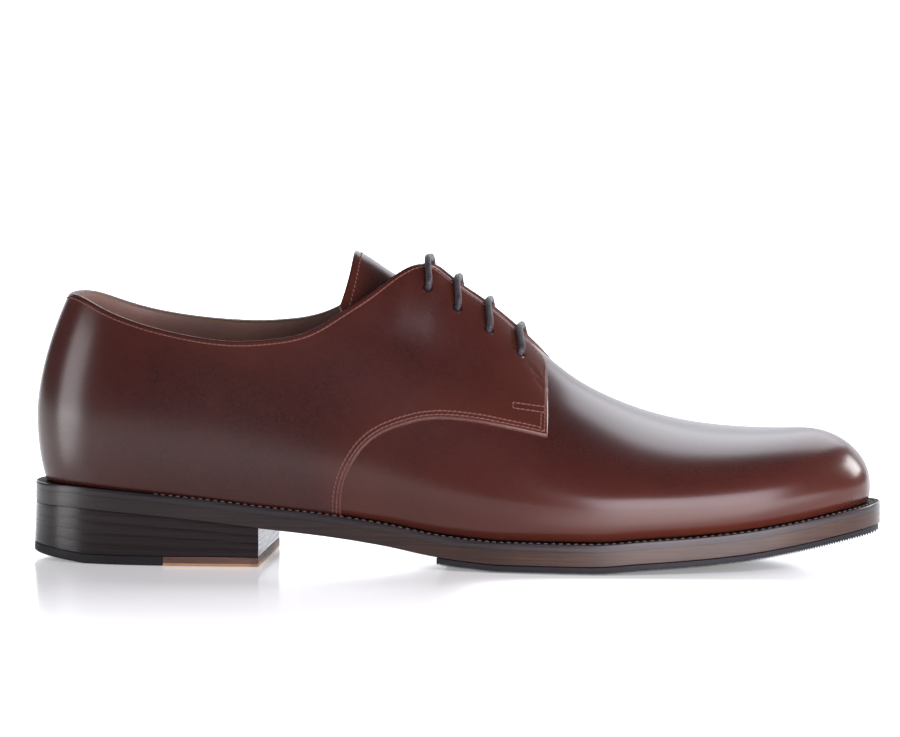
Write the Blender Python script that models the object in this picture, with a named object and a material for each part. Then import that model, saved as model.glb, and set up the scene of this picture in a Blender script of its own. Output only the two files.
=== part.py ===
"""A plain-toe derby shoe for the right foot, standing empty on its sole.

X runs from the heel to the toe, Y to the inner (medial) side and Z up from the floor.
The last is a surface with two parameters. The turn goes once round the feather line: 0 at the back
of the heel, forward along the outer (lateral) side, pi at the toe and back along the inner side.
The climb goes up one rib of the last, from 0 at the feather line to 1 at the ridge.
Each piece of the upper lies at its own distance from that surface, and each layer under the foot
is a plate with its own distance from the feather line.
"""

import math

import bmesh
import bpy
import numpy as np
from mathutils import Vector

MM = 0.001
LATERAL = -1
MEDIAL = 1

# Driving dimensions
LAST_LENGTH = 291.4 * MM
BALL_WIDTH = 89.0 * MM
INSTEP_HEIGHT = 95.0 * MM
COLLAR_HEIGHT = 94.5 * MM
HEEL_RISE = 16.9 * MM
TOE_SPRING = 10.9 * MM
HEEL_FOCUS = 43.0 * MM
TOE_FOCUS = 22.0 * MM

# Walls and layers
GAP = 0.3 * MM
VAMP_WALL = 2.0 * MM
QUARTER_BASE = 0.6 * MM
QUARTER_WALL = 2.6 * MM
FACING_LIFT = 7.2 * MM
TONGUE_WALL = 2.0 * MM
INSOLE_THICKNESS = 3.0 * MM
WELT_THICKNESS = 2.7 * MM
WELT_SEAT = 7.0 * MM
OUTSOLE_THICKNESS = 4.8 * MM
RUBBER_THICKNESS = 2.6 * MM
TOP_PIECE_THICKNESS = 3.2 * MM
HEEL_FLARE = 0.6 * MM
HEEL_BEVEL = 2.2 * MM
HEEL_BEVEL_LENGTH = 20.0 * MM
HEEL_BEVEL_START = 14.0 * MM
LACE_LEAN = 4.5 * MM
TONGUE_DIP = 2.8 * MM
RUBBER_INSET = 0.6 * MM

# Places along the shoe, as shares of the last's length from the heel
HEEL_FAN_START = 0.332
TOE_FAN_START = 0.796
TREAD_START = 0.569
TREAD_END = 0.679
RUBBER_START = 0.488
HEEL_BREAST = 0.267
TOP_PIECE_JOINT = 0.148
SEAM_FOOT = 0.369
THROAT = 0.588

# Tongue and lacing
TONGUE_TOP = 0.376
TONGUE_ROOT = 0.636
TONGUE_LEAN = 6.0 * MM
TONGUE_TOP_HALF = 37.0 * MM
TONGUE_ROOT_HALF = 19.0 * MM
FACING_FROM_RIDGE = 7.0 * MM
EYELET_RADIUS = 1.75 * MM
LACE_RADIUS = 1.15 * MM
LACE_OVER_FACING = 1.5 * MM
LACE_IN_EYELET = 1.4 * MM
LACE_AT_EYELET = 0.6 * MM
LACE_CROWN = 0.1 * MM

# Numbers of stations
TURNS = 31
CLIMBS = 12
PLATE_STATIONS = 26
ARC_SAMPLES = 33

# Shape of the ribs under their widest line: share of the curve's own parameter, share of the bulge
# reached at the foot, shares of the height held at the foot and at the widest line
RIB_WAIST = 0.25
FOOT_OUT = 0.55
FOOT_UP = 0.25
WIDEST_UP = 0.40

# Feather line: share of length, lateral and medial distance from the axis as shares of the ball
FEATHER = (
    (0.000, 0.000, 0.000),
    (0.010, 0.127, 0.126),
    (0.040, 0.230, 0.236),
    (0.100, 0.304, 0.309),
    (0.180, 0.327, 0.327),
    (0.260, 0.331, 0.310),
    (0.340, 0.347, 0.284),
    (0.420, 0.375, 0.266),
    (0.500, 0.419, 0.291),
    (0.580, 0.473, 0.371),
    (0.650, 0.504, 0.443),
    (0.720, 0.509, 0.495),
    (0.790, 0.472, 0.503),
    (0.860, 0.398, 0.460),
    (0.920, 0.290, 0.376),
    (0.960, 0.187, 0.297),
    (0.990, 0.066, 0.194),
    (1.000, -0.067, 0.067),
)

# Sole edge: share of length, lateral and medial distance out from the feather line as shares of
# the ball width
SOLE_EDGE = (
    (0.000, 0.078, 0.078),
    (0.100, 0.063, 0.063),
    (0.250, 0.058, 0.056),
    (0.400, 0.056, 0.047),
    (0.500, 0.063, 0.056),
    (0.650, 0.073, 0.071),
    (0.850, 0.074, 0.074),
    (1.000, 0.075, 0.075),
)

# Rise of the seat under the heel: share of length, share of the heel rise
HEEL_PITCH = (
    (-0.030, 1.000),
    (0.016, 1.000),
    (0.098, 0.929),
    (0.181, 0.805),
    (0.263, 0.645),
    (0.363, 0.462),
    (0.421, 0.320),
    (0.489, 0.112),
    (0.534, 0.034),
    (TREAD_START, 0.000),
)

# Rise of the toe: share of length, share of the toe spring
TOE_PITCH = (
    (TREAD_END, 0.000),
    (0.741, 0.115),
    (0.806, 0.225),
    (0.861, 0.350),
    (0.906, 0.505),
    (0.951, 0.695),
    (0.980, 0.835),
    (1.002, 0.930),
    (1.023, 1.000),
)

# Ridge of the last: share of length, share of the instep height
RIDGE = (
    (0.140, 1.370),
    (0.250, 1.300),
    (0.340, 1.215),
    (0.395, 1.150),
    (0.450, 1.078),
    (0.500, 0.998),
    (0.550, 0.895),
    (0.600, 0.768),
    (0.640, 0.670),
    (0.680, 0.601),
    (0.720, 0.551),
    (0.760, 0.516),
    (0.800, 0.494),
    (0.840, 0.482),
    (0.880, 0.478),
    (0.925, 0.481),
)

# Ridge off the axis: share of length, share of the ball width
RIDGE_SWING = (
    (0.140, 0.000),
    (0.300, 0.000),
    (0.450, 0.010),
    (0.600, 0.045),
    (0.750, 0.085),
    (0.925, 0.090),
)

# Widest line of the ribs: share of length, bulge beyond the feather line as a share of the ball
# width and climb above it as a share of the rib's height, each lateral then medial
GIRTH = (
    (0.000, 0.036, 0.036, 0.230, 0.230),
    (0.060, 0.034, 0.034, 0.230, 0.230),
    (0.180, 0.030, 0.030, 0.220, 0.220),
    (0.300, 0.036, 0.036, 0.200, 0.210),
    (0.420, 0.046, 0.056, 0.190, 0.220),
    (0.520, 0.050, 0.060, 0.190, 0.240),
    (0.620, 0.050, 0.050, 0.230, 0.270),
    (0.720, 0.046, 0.040, 0.290, 0.310),
    (0.820, 0.036, 0.032, 0.310, 0.320),
    (0.920, 0.026, 0.024, 0.300, 0.300),
    (1.000, 0.013, 0.013, 0.260, 0.260),
)

# Fullness of the ribs above the widest line: share of length, side then top, each lateral then
# medial
FULLNESS = (
    (0.000, 0.350, 0.350, 0.470, 0.470),
    (0.120, 0.380, 0.380, 0.470, 0.470),
    (0.300, 0.400, 0.420, 0.440, 0.460),
    (0.420, 0.360, 0.420, 0.400, 0.440),
    (0.520, 0.330, 0.420, 0.380, 0.430),
    (0.620, 0.330, 0.440, 0.400, 0.450),
    (0.720, 0.380, 0.480, 0.470, 0.500),
    (0.820, 0.460, 0.520, 0.560, 0.560),
    (0.920, 0.520, 0.540, 0.600, 0.600),
    (1.000, 0.540, 0.540, 0.560, 0.560),
)

# Topline: share of length, lateral and medial height as shares of the collar height
TOPLINE = (
    (0.045, 0.997, 0.998),
    (0.068, 0.966, 0.970),
    (0.118, 0.912, 0.922),
    (0.180, 0.868, 0.893),
    (0.235, 0.849, 0.884),
    (0.284, 0.857, 0.892),
    (0.328, 0.888, 0.921),
    (0.366, 0.957, 0.980),
    (0.395, 1.015, 1.030),
)

# Facing edge from its top corner forward: share of length, way down from the ridge as a share of
# the ball width
FACING = (
    (0.433, 0.136),
    (0.447, 0.100),
    (0.473, 0.084),
    (0.510, 0.079),
    (0.560, 0.079),
    (0.583, 0.081),
    (0.595, 0.090),
    (0.602, 0.108),
)

# How far the facings stand off over the tongue: share of length, share of the facing lift
STAND_OFF = (
    (0.330, 0.000),
    (0.400, 0.480),
    (0.437, 0.950),
    (0.462, 1.000),
    (0.500, 0.790),
    (0.533, 0.600),
    (0.560, 0.470),
    (0.588, 0.090),
    (0.612, 0.000),
)

# Eyelets: share of length, way down from the ridge as a share of the ball width
EYELETS = (
    (0.461, 0.172),
    (0.498, 0.180),
    (0.537, 0.195),
    (0.576, 0.197),
)

# Seam of the quarter over the vamp, up from its foot: share of length, height as a share of the
# collar height
SEAM = (
    (0.3687, 0.268),
    (0.3725, 0.325),
    (0.3825, 0.397),
    (0.3980, 0.465),
    (0.4200, 0.517),
    (0.4450, 0.548),
    (0.4750, 0.570),
    (0.5055, 0.572),
    (0.5425, 0.560),
    (0.5850, 0.536),
    (0.6220, 0.512),
)

# Front edge of the quarter, up from the seam: share of length, height as a share of the collar
# height
FRONT_EDGE = (
    (0.6222, 0.560),
    (0.6210, 0.636),
    (0.6195, 0.735),
)

# Hidden rear edge of the vamp, up from its foot: share of length, climb
VAMP_EDGE = (
    (0.340, 0.000),
    (0.345, 0.150),
    (0.375, 0.330),
    (0.430, 0.480),
    (0.500, 0.585),
    (0.560, 0.680),
    (0.584, 0.780),
    (0.588, 0.880),
    (0.588, 1.000),
)


def cubic(knots, values, period=None):
    """A smooth curve through the values, closed if it has a period."""
    x = np.array(knots, float)
    y = np.array(values, float)
    if period:
        x = np.append(x, x[0] + period)
        y = np.append(y, y[0])
    h = np.diff(x)
    slope = np.diff(y) / h
    n = len(x)
    matrix = np.zeros((n, n))
    right = np.zeros(n)
    for i in range(1, n - 1):
        matrix[i, i - 1 : i + 2] = (h[i - 1], 2 * (h[i - 1] + h[i]), h[i])
        right[i] = 6 * (slope[i] - slope[i - 1])
    matrix[0, 0] = 1
    matrix[-1, -1] = 1
    if period:
        matrix[0, -1] = -1
        matrix[-1, :2] = (2 * h[0], h[0])
        matrix[-1, -2:] = (h[-1], 2 * h[-1])
        right[-1] = 6 * (slope[0] - slope[-1])
    bend = np.linalg.solve(matrix, right)

    def value(at):
        at = np.asarray(at, float)
        if period:
            at = x[0] + np.mod(at - x[0], period)
        else:
            at = np.clip(at, x[0], x[-1])
        i = np.clip(np.searchsorted(x, at, "right") - 1, 0, n - 2)
        d = at - x[i]
        first = slope[i] - h[i] * (2 * bend[i] + bend[i + 1]) / 6
        return y[i] + d * (first + d * (bend[i] / 2 + d * (bend[i + 1] - bend[i]) / (6 * h[i])))

    return value


def monotone(knots, values):
    """A curve through the values that never swings past them."""
    x = np.array(knots, float)
    y = np.array(values, float)
    h = np.diff(x)
    slope = np.diff(y) / h
    tangent = np.zeros(len(x))
    for i in range(1, len(x) - 1):
        if slope[i - 1] * slope[i] > 0:
            a = 2 * h[i] + h[i - 1]
            b = h[i] + 2 * h[i - 1]
            tangent[i] = (a + b) / (a / slope[i - 1] + b / slope[i])

    def value(at):
        at = np.clip(np.asarray(at, float), x[0], x[-1])
        i = np.clip(np.searchsorted(x, at, "right") - 1, 0, len(x) - 2)
        u = (at - x[i]) / h[i]
        start = (1 + 2 * u) * (1 - u) ** 2 * y[i] + u * (1 - u) ** 2 * h[i] * tangent[i]
        return start + u * u * (3 - 2 * u) * y[i + 1] + u * u * (u - 1) * h[i] * tangent[i + 1]

    return value


def smooth(value):
    """0 below 0, 1 above 1 and an even blend between."""
    value = np.clip(value, 0, 1)
    return value * value * (3 - 2 * value)


def turn_of(share):
    return np.arccos(np.clip(1 - 2 * np.asarray(share, float), -1, 1))


def round_the_last(table, lateral, medial):
    """A closed curve over the turn from one column for each side."""
    rows = [row for row in table if 0 < row[0] < 1]
    first = table[0]
    last = table[-1]
    knots = [0.0] + [float(turn_of(row[0])) for row in rows]
    values = [first[lateral]] + [row[lateral] for row in rows]
    if last[0] == 1:
        knots.append(math.pi)
        values.append(last[lateral])
    for row in reversed(rows):
        knots.append(2 * math.pi - float(turn_of(row[0])))
        values.append(row[medial])
    return cubic(knots, values, 2 * math.pi)


def signed_feather():
    """The feather line's Y over the turn, in shares of the ball width."""
    rows = FEATHER[1:-1]
    knots = [0.0] + [float(turn_of(row[0])) for row in rows] + [math.pi]
    values = [0.0] + [-row[1] for row in rows] + [FEATHER[-1][2]]
    for row in reversed(rows):
        knots.append(2 * math.pi - float(turn_of(row[0])))
        values.append(row[2])
    return cubic(knots, values, 2 * math.pi)


def column(table, index):
    return [row[index] for row in table]


feather_y = signed_feather()
sole_edge = round_the_last(SOLE_EDGE, 1, 2)
bulge = round_the_last(GIRTH, 1, 2)
widest = round_the_last(GIRTH, 3, 4)
side_fullness = round_the_last(FULLNESS, 1, 2)
top_fullness = round_the_last(FULLNESS, 3, 4)
ridge_height = cubic(column(RIDGE, 0), column(RIDGE, 1))
ridge_swing = cubic(column(RIDGE_SWING, 0), column(RIDGE_SWING, 1))
heel_pitch = monotone(column(HEEL_PITCH, 0), column(HEEL_PITCH, 1))
toe_pitch = monotone(column(TOE_PITCH, 0), column(TOE_PITCH, 1))
stand_off = monotone(column(STAND_OFF, 0), column(STAND_OFF, 1))

# Height of the welt's top over the floor at the ball
STACK = RUBBER_THICKNESS + OUTSOLE_THICKNESS + WELT_THICKNESS + 2 * GAP


def x_of(share):
    """X of a share of the length; the origin is halfway."""
    return (np.asarray(share, float) - 0.5) * LAST_LENGTH


def share_of(x):
    return np.asarray(x, float) / LAST_LENGTH + 0.5


def seat(x):
    """Height of the welt's top at this X."""
    share = share_of(x)
    return STACK + HEEL_RISE * heel_pitch(share) + TOE_SPRING * toe_pitch(share)


def ridge_x(x):
    """X of a rib's upper end for a rib with its foot at this X: the ribs fan out at both ends."""
    toe = x_of(TOE_FAN_START)
    heel = x_of(HEEL_FAN_START)
    past_toe = np.clip((x - toe) / (x_of(1) - toe), 0, 1)
    past_heel = np.clip((heel - x) / (heel - x_of(0)), 0, 1)
    return x - TOE_FOCUS * past_toe**2 + HEEL_FOCUS * past_heel**2


def rib_frame(turn):
    """Foot, ridge end and direction of the ribs at these turns."""
    x = x_of((1 - np.cos(turn)) / 2)
    foot = np.stack([x, BALL_WIDTH * feather_y(turn), seat(x)], -1)
    top_x = ridge_x(x)
    share = share_of(top_x)
    top = np.stack([top_x, BALL_WIDTH * ridge_swing(share), INSTEP_HEIGHT * ridge_height(share)], -1)
    way = foot[..., :2] - top[..., :2]
    reach = np.linalg.norm(way, axis=-1)
    return foot, top, way / reach[..., None], reach


def rib_point(turn, along):
    """Points on the ribs at 0 to 1 of the curves' own parameter."""
    foot, top, way, reach = rib_frame(turn)
    low = foot[..., 2]
    high = top[..., 2]
    out = BALL_WIDTH * bulge(turn)
    middle = low + widest(turn) * (high - low)
    side = side_fullness(turn)
    crown = top_fullness(turn)
    below = np.clip(along / RIB_WAIST, 0, 1)
    above = np.clip((along - RIB_WAIST) / (1 - RIB_WAIST), 0, 1)
    far = reach + out

    def bezier(u, a, b, c, d):
        v = 1 - u
        return v**3 * a + 3 * v * v * u * b + 3 * v * u * u * c + u**3 * d

    rise = middle - low
    r_low = bezier(below, reach, reach + FOOT_OUT * out, far, far)
    z_low = bezier(below, low, low + FOOT_UP * rise, middle - WIDEST_UP * rise, middle)
    r_high = bezier(above, far, far, crown * far, 0 * far)
    z_high = bezier(above, middle, middle + side * (high - middle), high, high)
    r = np.where(along < RIB_WAIST, r_low, r_high)
    z = np.where(along < RIB_WAIST, z_low, z_high)
    return np.stack([top[..., 0] + way[..., 0] * r, top[..., 1] + way[..., 1] * r, z], -1)


def rib_arc(turn):
    """Samples along the ribs with the length up to each."""
    along = np.linspace(0, 1, ARC_SAMPLES)
    points = rib_point(np.asarray(turn, float)[..., None], along)
    steps = np.linalg.norm(np.diff(points, axis=-2), axis=-1)
    return along, np.concatenate([np.zeros(steps.shape[:-1] + (1,)), np.cumsum(steps, -1)], -1)


def last_point(turn, climb):
    """Points on the last; the climb is a share of the rib's own length."""
    turn, climb = np.broadcast_arrays(np.asarray(turn, float), np.asarray(climb, float))
    along, arc = rib_arc(turn)
    goal = np.clip(climb, 0, 1) * arc[..., -1]
    i = np.clip((arc < goal[..., None]).sum(-1) - 1, 0, ARC_SAMPLES - 2)
    start = np.take_along_axis(arc, i[..., None], -1)[..., 0]
    end = np.take_along_axis(arc, i[..., None] + 1, -1)[..., 0]
    return rib_point(turn, (i + (goal - start) / (end - start)) / (ARC_SAMPLES - 1))


def rib_length(turn):
    return rib_arc(turn)[1][..., -1]


def climb_from_ridge(turn, way):
    """The climb this far down from the ridge."""
    return 1 - way / rib_length(turn)


def last_normal(turn, climb):
    """Outward normals of the last."""
    turn, climb = np.broadcast_arrays(np.asarray(turn, float), np.asarray(climb, float))
    step = 1e-3
    upper = np.minimum(climb + step, 1)
    lower = np.maximum(climb - step, 0)
    beside = np.minimum(climb, 1 - step)
    across = last_point(turn + step, beside) - last_point(turn - step, beside)
    up = last_point(turn, upper) - last_point(turn, lower)
    normal = np.cross(across, up)
    return normal / np.linalg.norm(normal, axis=-1)[..., None]


def off_last(turn, climb, distance):
    """Points at a distance from the last; at the feather line the way out is level, along the seat."""
    turn, climb = np.broadcast_arrays(np.asarray(turn, float), np.asarray(climb, float))
    point = last_point(turn, climb)
    normal = last_normal(turn, climb)
    level = 1 - smooth(climb / 0.12)
    normal = np.stack([normal[..., 0], normal[..., 1], normal[..., 2] * (1 - level)], -1)
    normal /= np.linalg.norm(normal, axis=-1)[..., None]
    moved = point + normal * np.asarray(distance, float)[..., None]
    moved[..., 2] += level * (GAP + seat(moved[..., 0]) - seat(point[..., 0]))
    return moved


def facing_lift(turn, climb):
    """How far the facings stand off over the tongue."""
    x = x_of((1 - np.cos(turn)) / 2)
    share = share_of(x)
    way = (1 - climb) * rib_length(turn)
    across = 1 - smooth((way - 0.08 * BALL_WIDTH) / (0.36 * BALL_WIDTH))
    return FACING_LIFT * stand_off(share) * across


def quarter_outer(turn, climb):
    return QUARTER_BASE + QUARTER_WALL + facing_lift(turn, climb)


def quarter_inner(turn, climb):
    return QUARTER_BASE + facing_lift(turn, climb)


def place(share, height, side, distance):
    """Turns and climbs of points of an outer surface, from their share of length and height."""
    low_turn = np.zeros(len(share))
    high_turn = np.full(len(share), math.pi)
    for _ in range(16):
        turn = (low_turn + high_turn) / 2
        low = np.zeros(len(share))
        high = np.ones(len(share))
        for _ in range(13):
            climb = (low + high) / 2
            real = turn if side < 0 else 2 * math.pi - turn
            at = off_last(real, climb, distance(real, climb))
            under = at[:, 2] < height
            low = np.where(under, climb, low)
            high = np.where(under, high, climb)
        behind = at[:, 0] < x_of(share)
        low_turn = np.where(behind, turn, low_turn)
        high_turn = np.where(behind, high_turn, turn)
    return turn, climb


def even(path, count):
    """The path's (turn, climb) points again at even steps."""
    path = np.array(path)
    scale = np.array([1.0, 0.55])
    steps = np.linalg.norm(np.diff(path * scale, axis=0), axis=1)
    arc = np.concatenate([[0], np.cumsum(steps)])
    arc /= arc[-1]
    fine = np.linspace(0, 1, 400)
    dense = np.stack([cubic(arc, path[:, 0])(fine), cubic(arc, path[:, 1])(fine)], 1)
    steps = np.linalg.norm(np.diff(dense * scale, axis=0), axis=1)
    length = np.concatenate([[0], np.cumsum(steps)])
    goal = np.linspace(0, length[-1], count)
    return np.stack([np.interp(goal, length, dense[:, 0]), np.interp(goal, length, dense[:, 1])], 1)


def solid(name, points, faces, material, collection):
    """A closed mesh object from points in metres."""
    mesh = bpy.data.meshes.new(name)
    mesh.from_pydata([tuple(map(float, point)) for point in points], [], faces)
    form = bmesh.new()
    form.from_mesh(mesh)
    bmesh.ops.remove_doubles(form, verts=form.verts, dist=1e-6)
    bmesh.ops.recalc_face_normals(form, faces=form.faces)
    form.to_mesh(mesh)
    form.free()
    mesh.materials.append(material)
    shape = bpy.data.objects.new(name, mesh)
    collection.objects.link(shape)
    return shape


def paint(name, colour, roughness):
    material = bpy.data.materials.new(name)
    material.use_nodes = True
    shader = material.node_tree.nodes["Principled BSDF"]
    shader.inputs["Base Color"].default_value = (*colour, 1)
    shader.inputs["Roughness"].default_value = roughness
    shader.inputs["Metallic"].default_value = 0
    return material


def sheet_faces(rows, columns, start, flip):
    """Quads of a grid of points stored row by row."""
    faces = []
    for i in range(rows - 1):
        for j in range(columns - 1):
            a = start + i * columns + j
            quad = (a, a + 1, a + columns + 1, a + columns)
            faces.append(quad[::-1] if flip else quad)
    return faces


def wall(outer, inner):
    """Points and faces of a wall between two grids of the same shape, closed along every edge."""
    rows, columns = outer.shape[:2]
    count = rows * columns
    points = np.concatenate([outer.reshape(-1, 3), inner.reshape(-1, 3)])
    faces = sheet_faces(rows, columns, 0, False) + sheet_faces(rows, columns, count, True)
    rim = [j for j in range(columns)]
    rim += [i * columns + columns - 1 for i in range(1, rows)]
    rim += [(rows - 1) * columns + j for j in range(columns - 2, -1, -1)]
    rim += [i * columns for i in range(rows - 2, 0, -1)]
    for a, b in zip(rim, rim[1:] + rim[:1]):
        faces.append((b, a, a + count, b + count))
    return points, faces


def quarter_grid(side, rows, columns):
    """Turns and climbs of one side's quarter, from its middle at the back to its front edge."""
    # The back's height is the same on both sides
    _, back = place(np.array([0.0]), COLLAR_HEIGHT, -1, quarter_outer_at_back)
    heights = COLLAR_HEIGHT * np.array(column(TOPLINE, 1 if side < 0 else 2))
    turns, climbs = place(np.array(column(TOPLINE, 0)), heights, side, quarter_outer)
    top = [(0.0, float(back[0]))] + list(zip(turns, climbs))
    ways = BALL_WIDTH * np.array(column(FACING, 1))
    turns = turn_of(column(FACING, 0))
    real = turns if side < 0 else 2 * math.pi - turns
    top += list(zip(turns, climb_from_ridge(real, ways)))
    front = [(float(turn_of(SEAM_FOOT)), 0.0)]
    seam_turns, seam_climbs = place(
        np.array(column(SEAM, 0)), COLLAR_HEIGHT * np.array(column(SEAM, 1)), -1, quarter_outer
    )
    front += list(zip(seam_turns, seam_climbs))
    edge_turns, edge_climbs = place(
        np.array(column(FRONT_EDGE, 0)),
        COLLAR_HEIGHT * np.array(column(FRONT_EDGE, 1)),
        -1,
        quarter_outer,
    )
    edge = [front[-1]] + list(zip(edge_turns, edge_climbs)) + [top[-1]]
    top = even(top, columns)
    corner = round(0.52 * columns)
    feather = np.stack([np.linspace(0, front[0][0], corner), np.zeros(corner)], 1)
    bottom = np.concatenate([feather, even(front, columns - corner + 1)[1:]])
    edge = even(edge, rows)
    a = np.linspace(0, 1, columns)
    b = np.linspace(0, 1, rows)[:, None]
    grid = np.empty((rows, columns, 2))
    for k in range(2):
        left = b * top[0, k]
        right = edge[:, k : k + 1]
        corners = (1 - a) * b * top[0, k] + a * (1 - b) * bottom[-1, k] + a * b * top[-1, k]
        across = (1 - b) * bottom[:, k] + b * top[:, k]
        grid[..., k] = across + (1 - a) * left + a * right - corners
    if side > 0:
        grid[..., 0] = 2 * math.pi - grid[..., 0]
    return grid


def quarter_outer_at_back(turn, climb):
    return QUARTER_BASE + QUARTER_WALL + 0 * climb


def quarters(rows, columns):
    """Both quarters as one grid from the outer front edge round the back to the inner one."""
    lateral = quarter_grid(LATERAL, rows, columns)[:, ::-1]
    medial = quarter_grid(MEDIAL, rows, columns)
    medial[:, 0, 0] = 0.0
    return np.concatenate([lateral, medial[:, 1:]], 1)


def vamp_grid(side, rows, columns):
    """Turns and climbs of one side's vamp, from its hidden rear edge to the toe."""
    edge = even([(float(turn_of(share)), climb) for share, climb in VAMP_EDGE], 200)
    climbs = np.linspace(0, 1, rows)
    start = np.interp(climbs, edge[:, 1], edge[:, 0])
    a = np.linspace(0, 1, columns)
    grid = np.empty((rows, columns, 2))
    grid[..., 0] = start[:, None] + a * (math.pi - start[:, None])
    grid[..., 1] = climbs[:, None]
    if side > 0:
        grid[..., 0] = 2 * math.pi - grid[..., 0]
    return grid


def vamp_points(side, rows, columns, distance):
    """One side of a layer of the vamp; both sides share the points of the ridge and of the toe."""
    grid = vamp_grid(side, rows, columns)
    points = off_last(grid[..., 0], grid[..., 1], distance)
    points[..., 2] += 0.1 * MM * (1 - smooth(grid[..., 1] / 0.1))
    lateral = vamp_grid(LATERAL, rows, columns)
    points[-1] = off_last(lateral[-1, :, 0], lateral[-1, :, 1], distance)
    points[:, -1] = off_last(lateral[:, -1, 0], lateral[:, -1, 1], distance)
    points[:, -1, 2] += 0.1 * MM * (1 - smooth(lateral[:, -1, 1] / 0.1))
    return points


def make_vamp(material, collection):
    points = []
    faces = []
    for side in (LATERAL, MEDIAL):
        layers = []
        for distance in (VAMP_WALL, 0.0):
            layer = vamp_points(side, CLIMBS, TURNS, distance)
            layers.append(len(points))
            points.extend(layer.reshape(-1, 3))
            faces += sheet_faces(CLIMBS, TURNS, layers[-1], (distance == 0) == (side < 0))
        outer, inner = layers
        rim = [(outer + j, outer + j + 1) for j in range(TURNS - 1)]
        rim += [(outer + i * TURNS, outer + (i + 1) * TURNS) for i in range(CLIMBS - 1)]
        for a, b in rim:
            faces.append((a, b, b - outer + inner, a - outer + inner))
    return solid("vamp", points, faces, material, collection)


def make_quarters(name, material, collection):
    grid = quarters(CLIMBS, TURNS)
    turn = grid[..., 0]
    climb = grid[..., 1]
    outer = off_last(turn, climb, quarter_outer(turn, climb))
    inner = off_last(turn, climb, quarter_inner(turn, climb))
    points, faces = wall(outer, inner)
    return solid(name, points, faces, material, collection)


def plan(extra, count=721):
    """The feather line moved out by a distance that is a function of the turn."""
    turn = np.linspace(0, 2 * math.pi, count)
    step = 1e-4
    here = rib_frame(turn)[0][:, :2]
    ahead = rib_frame(turn + step)[0][:, :2] - rib_frame(turn - step)[0][:, :2]
    ahead /= np.linalg.norm(ahead, axis=1)[:, None]
    outward = np.stack([ahead[:, 1], -ahead[:, 0]], 1)
    return here + outward * np.asarray(extra(turn))[..., None]


def sides(extra):
    """Y of the lateral and the medial side of such an outline as functions of X, and its ends."""
    line = plan(extra)[:-1]
    heel = int(np.argmin(line[:, 0]))
    line = np.roll(line, -heel, axis=0)
    toe = int(np.argmax(line[:, 0]))
    lateral = line[: toe + 1]
    medial = np.concatenate([line[toe:], line[:1]])[::-1]
    return lateral, medial


def stations(lateral, start, end, count):
    """X positions of a plate's stations, closer together at a round end."""
    x0 = lateral[0, 0]
    x1 = lateral[-1, 0]
    k = np.linspace(0, 1, count)
    if start is None and end is None:
        x = x0 + (x1 - x0) * (1 - np.cos(math.pi * k)) / 2
    elif start is None:
        x = x0 + (end - x0) * (1 - np.cos(math.pi / 2 * k))
    elif end is None:
        x = start + (x1 - start) * np.sin(math.pi / 2 * k)
    else:
        x = start + (end - start) * k
    for fixed in (x_of(TREAD_START), x_of(TREAD_END)):
        if x[1] < fixed < x[-2]:
            x[np.argmin(abs(x - fixed))] = fixed
    return x


def loop(extra, start=None, end=None, count=PLATE_STATIONS):
    """Pairs of points across an outline: (stations, side, xy)."""
    lateral, medial = sides(extra)
    x = stations(lateral, start, end, count)
    pairs = []
    for line in (lateral, medial):
        pairs.append(np.stack([x, np.interp(x, line[:, 0], line[:, 1])], 1))
    return np.stack(pairs, 1)


def plate(name, levels, material, collection):
    """A stack of loops from the bottom up, each with its height as a function of X."""
    points = []
    rings = []
    for pairs, height in levels:
        count = len(pairs)
        ring = []
        for i in range(count):
            ring.append(len(points))
            x, y = pairs[i, 0]
            points.append((x, y, float(height(x))))
        for i in range(count - 1, -1, -1):
            ring.append(len(points))
            x, y = pairs[i, 1]
            points.append((x, y, float(height(x))))
        rings.append(ring)
    faces = []
    for lower, upper in zip(rings, rings[1:]):
        for i in range(len(lower)):
            j = (i + 1) % len(lower)
            faces.append((lower[i], lower[j], upper[j], upper[i]))
    count = len(rings[0]) // 2
    for ring, flip in ((rings[0], True), (rings[-1], False)):
        for i in range(count - 1):
            quad = (ring[i], ring[i + 1], ring[-2 - i], ring[-1 - i])
            faces.append(quad[::-1] if flip else quad)
    return solid(name, points, faces, material, collection)


def above_seat(rise):
    return lambda x: seat(x) + rise


def make_welt(material, collection):
    """A ring on top of the outsole."""
    outer = loop(lambda turn: BALL_WIDTH * sole_edge(turn), count=2 * PLATE_STATIONS)
    inner = loop(lambda turn: 0 * turn - WELT_SEAT, count=2 * PLATE_STATIONS)
    points = []
    for pairs in (outer, inner):
        line = np.concatenate([pairs[:, 0], pairs[-2:0:-1, 1]])
        for rise in (0.0, -WELT_THICKNESS):
            points += [(x, y, float(seat(x) + rise)) for x, y in line]
    n = len(line)
    faces = []
    for i in range(n):
        j = (i + 1) % n
        faces.append((i, j, n + j, n + i))
        faces.append((2 * n + j, 2 * n + i, 3 * n + i, 3 * n + j))
        faces.append((j, i, 2 * n + i, 2 * n + j))
        faces.append((n + i, n + j, 3 * n + j, 3 * n + i))
    return solid("welt", points, faces, material, collection)


def sole_outline(turn):
    return BALL_WIDTH * sole_edge(turn)


def make_insole(material, collection):
    plug = loop(lambda turn: 0 * turn - WELT_SEAT - GAP)
    board = loop(lambda turn: 0 * turn - 3 * GAP)
    levels = [
        (plug, above_seat(-WELT_THICKNESS)),
        (plug, above_seat(GAP)),
        (board, above_seat(GAP)),
        (board, above_seat(GAP + INSOLE_THICKNESS)),
    ]
    return plate("insole", levels, material, collection)


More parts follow.
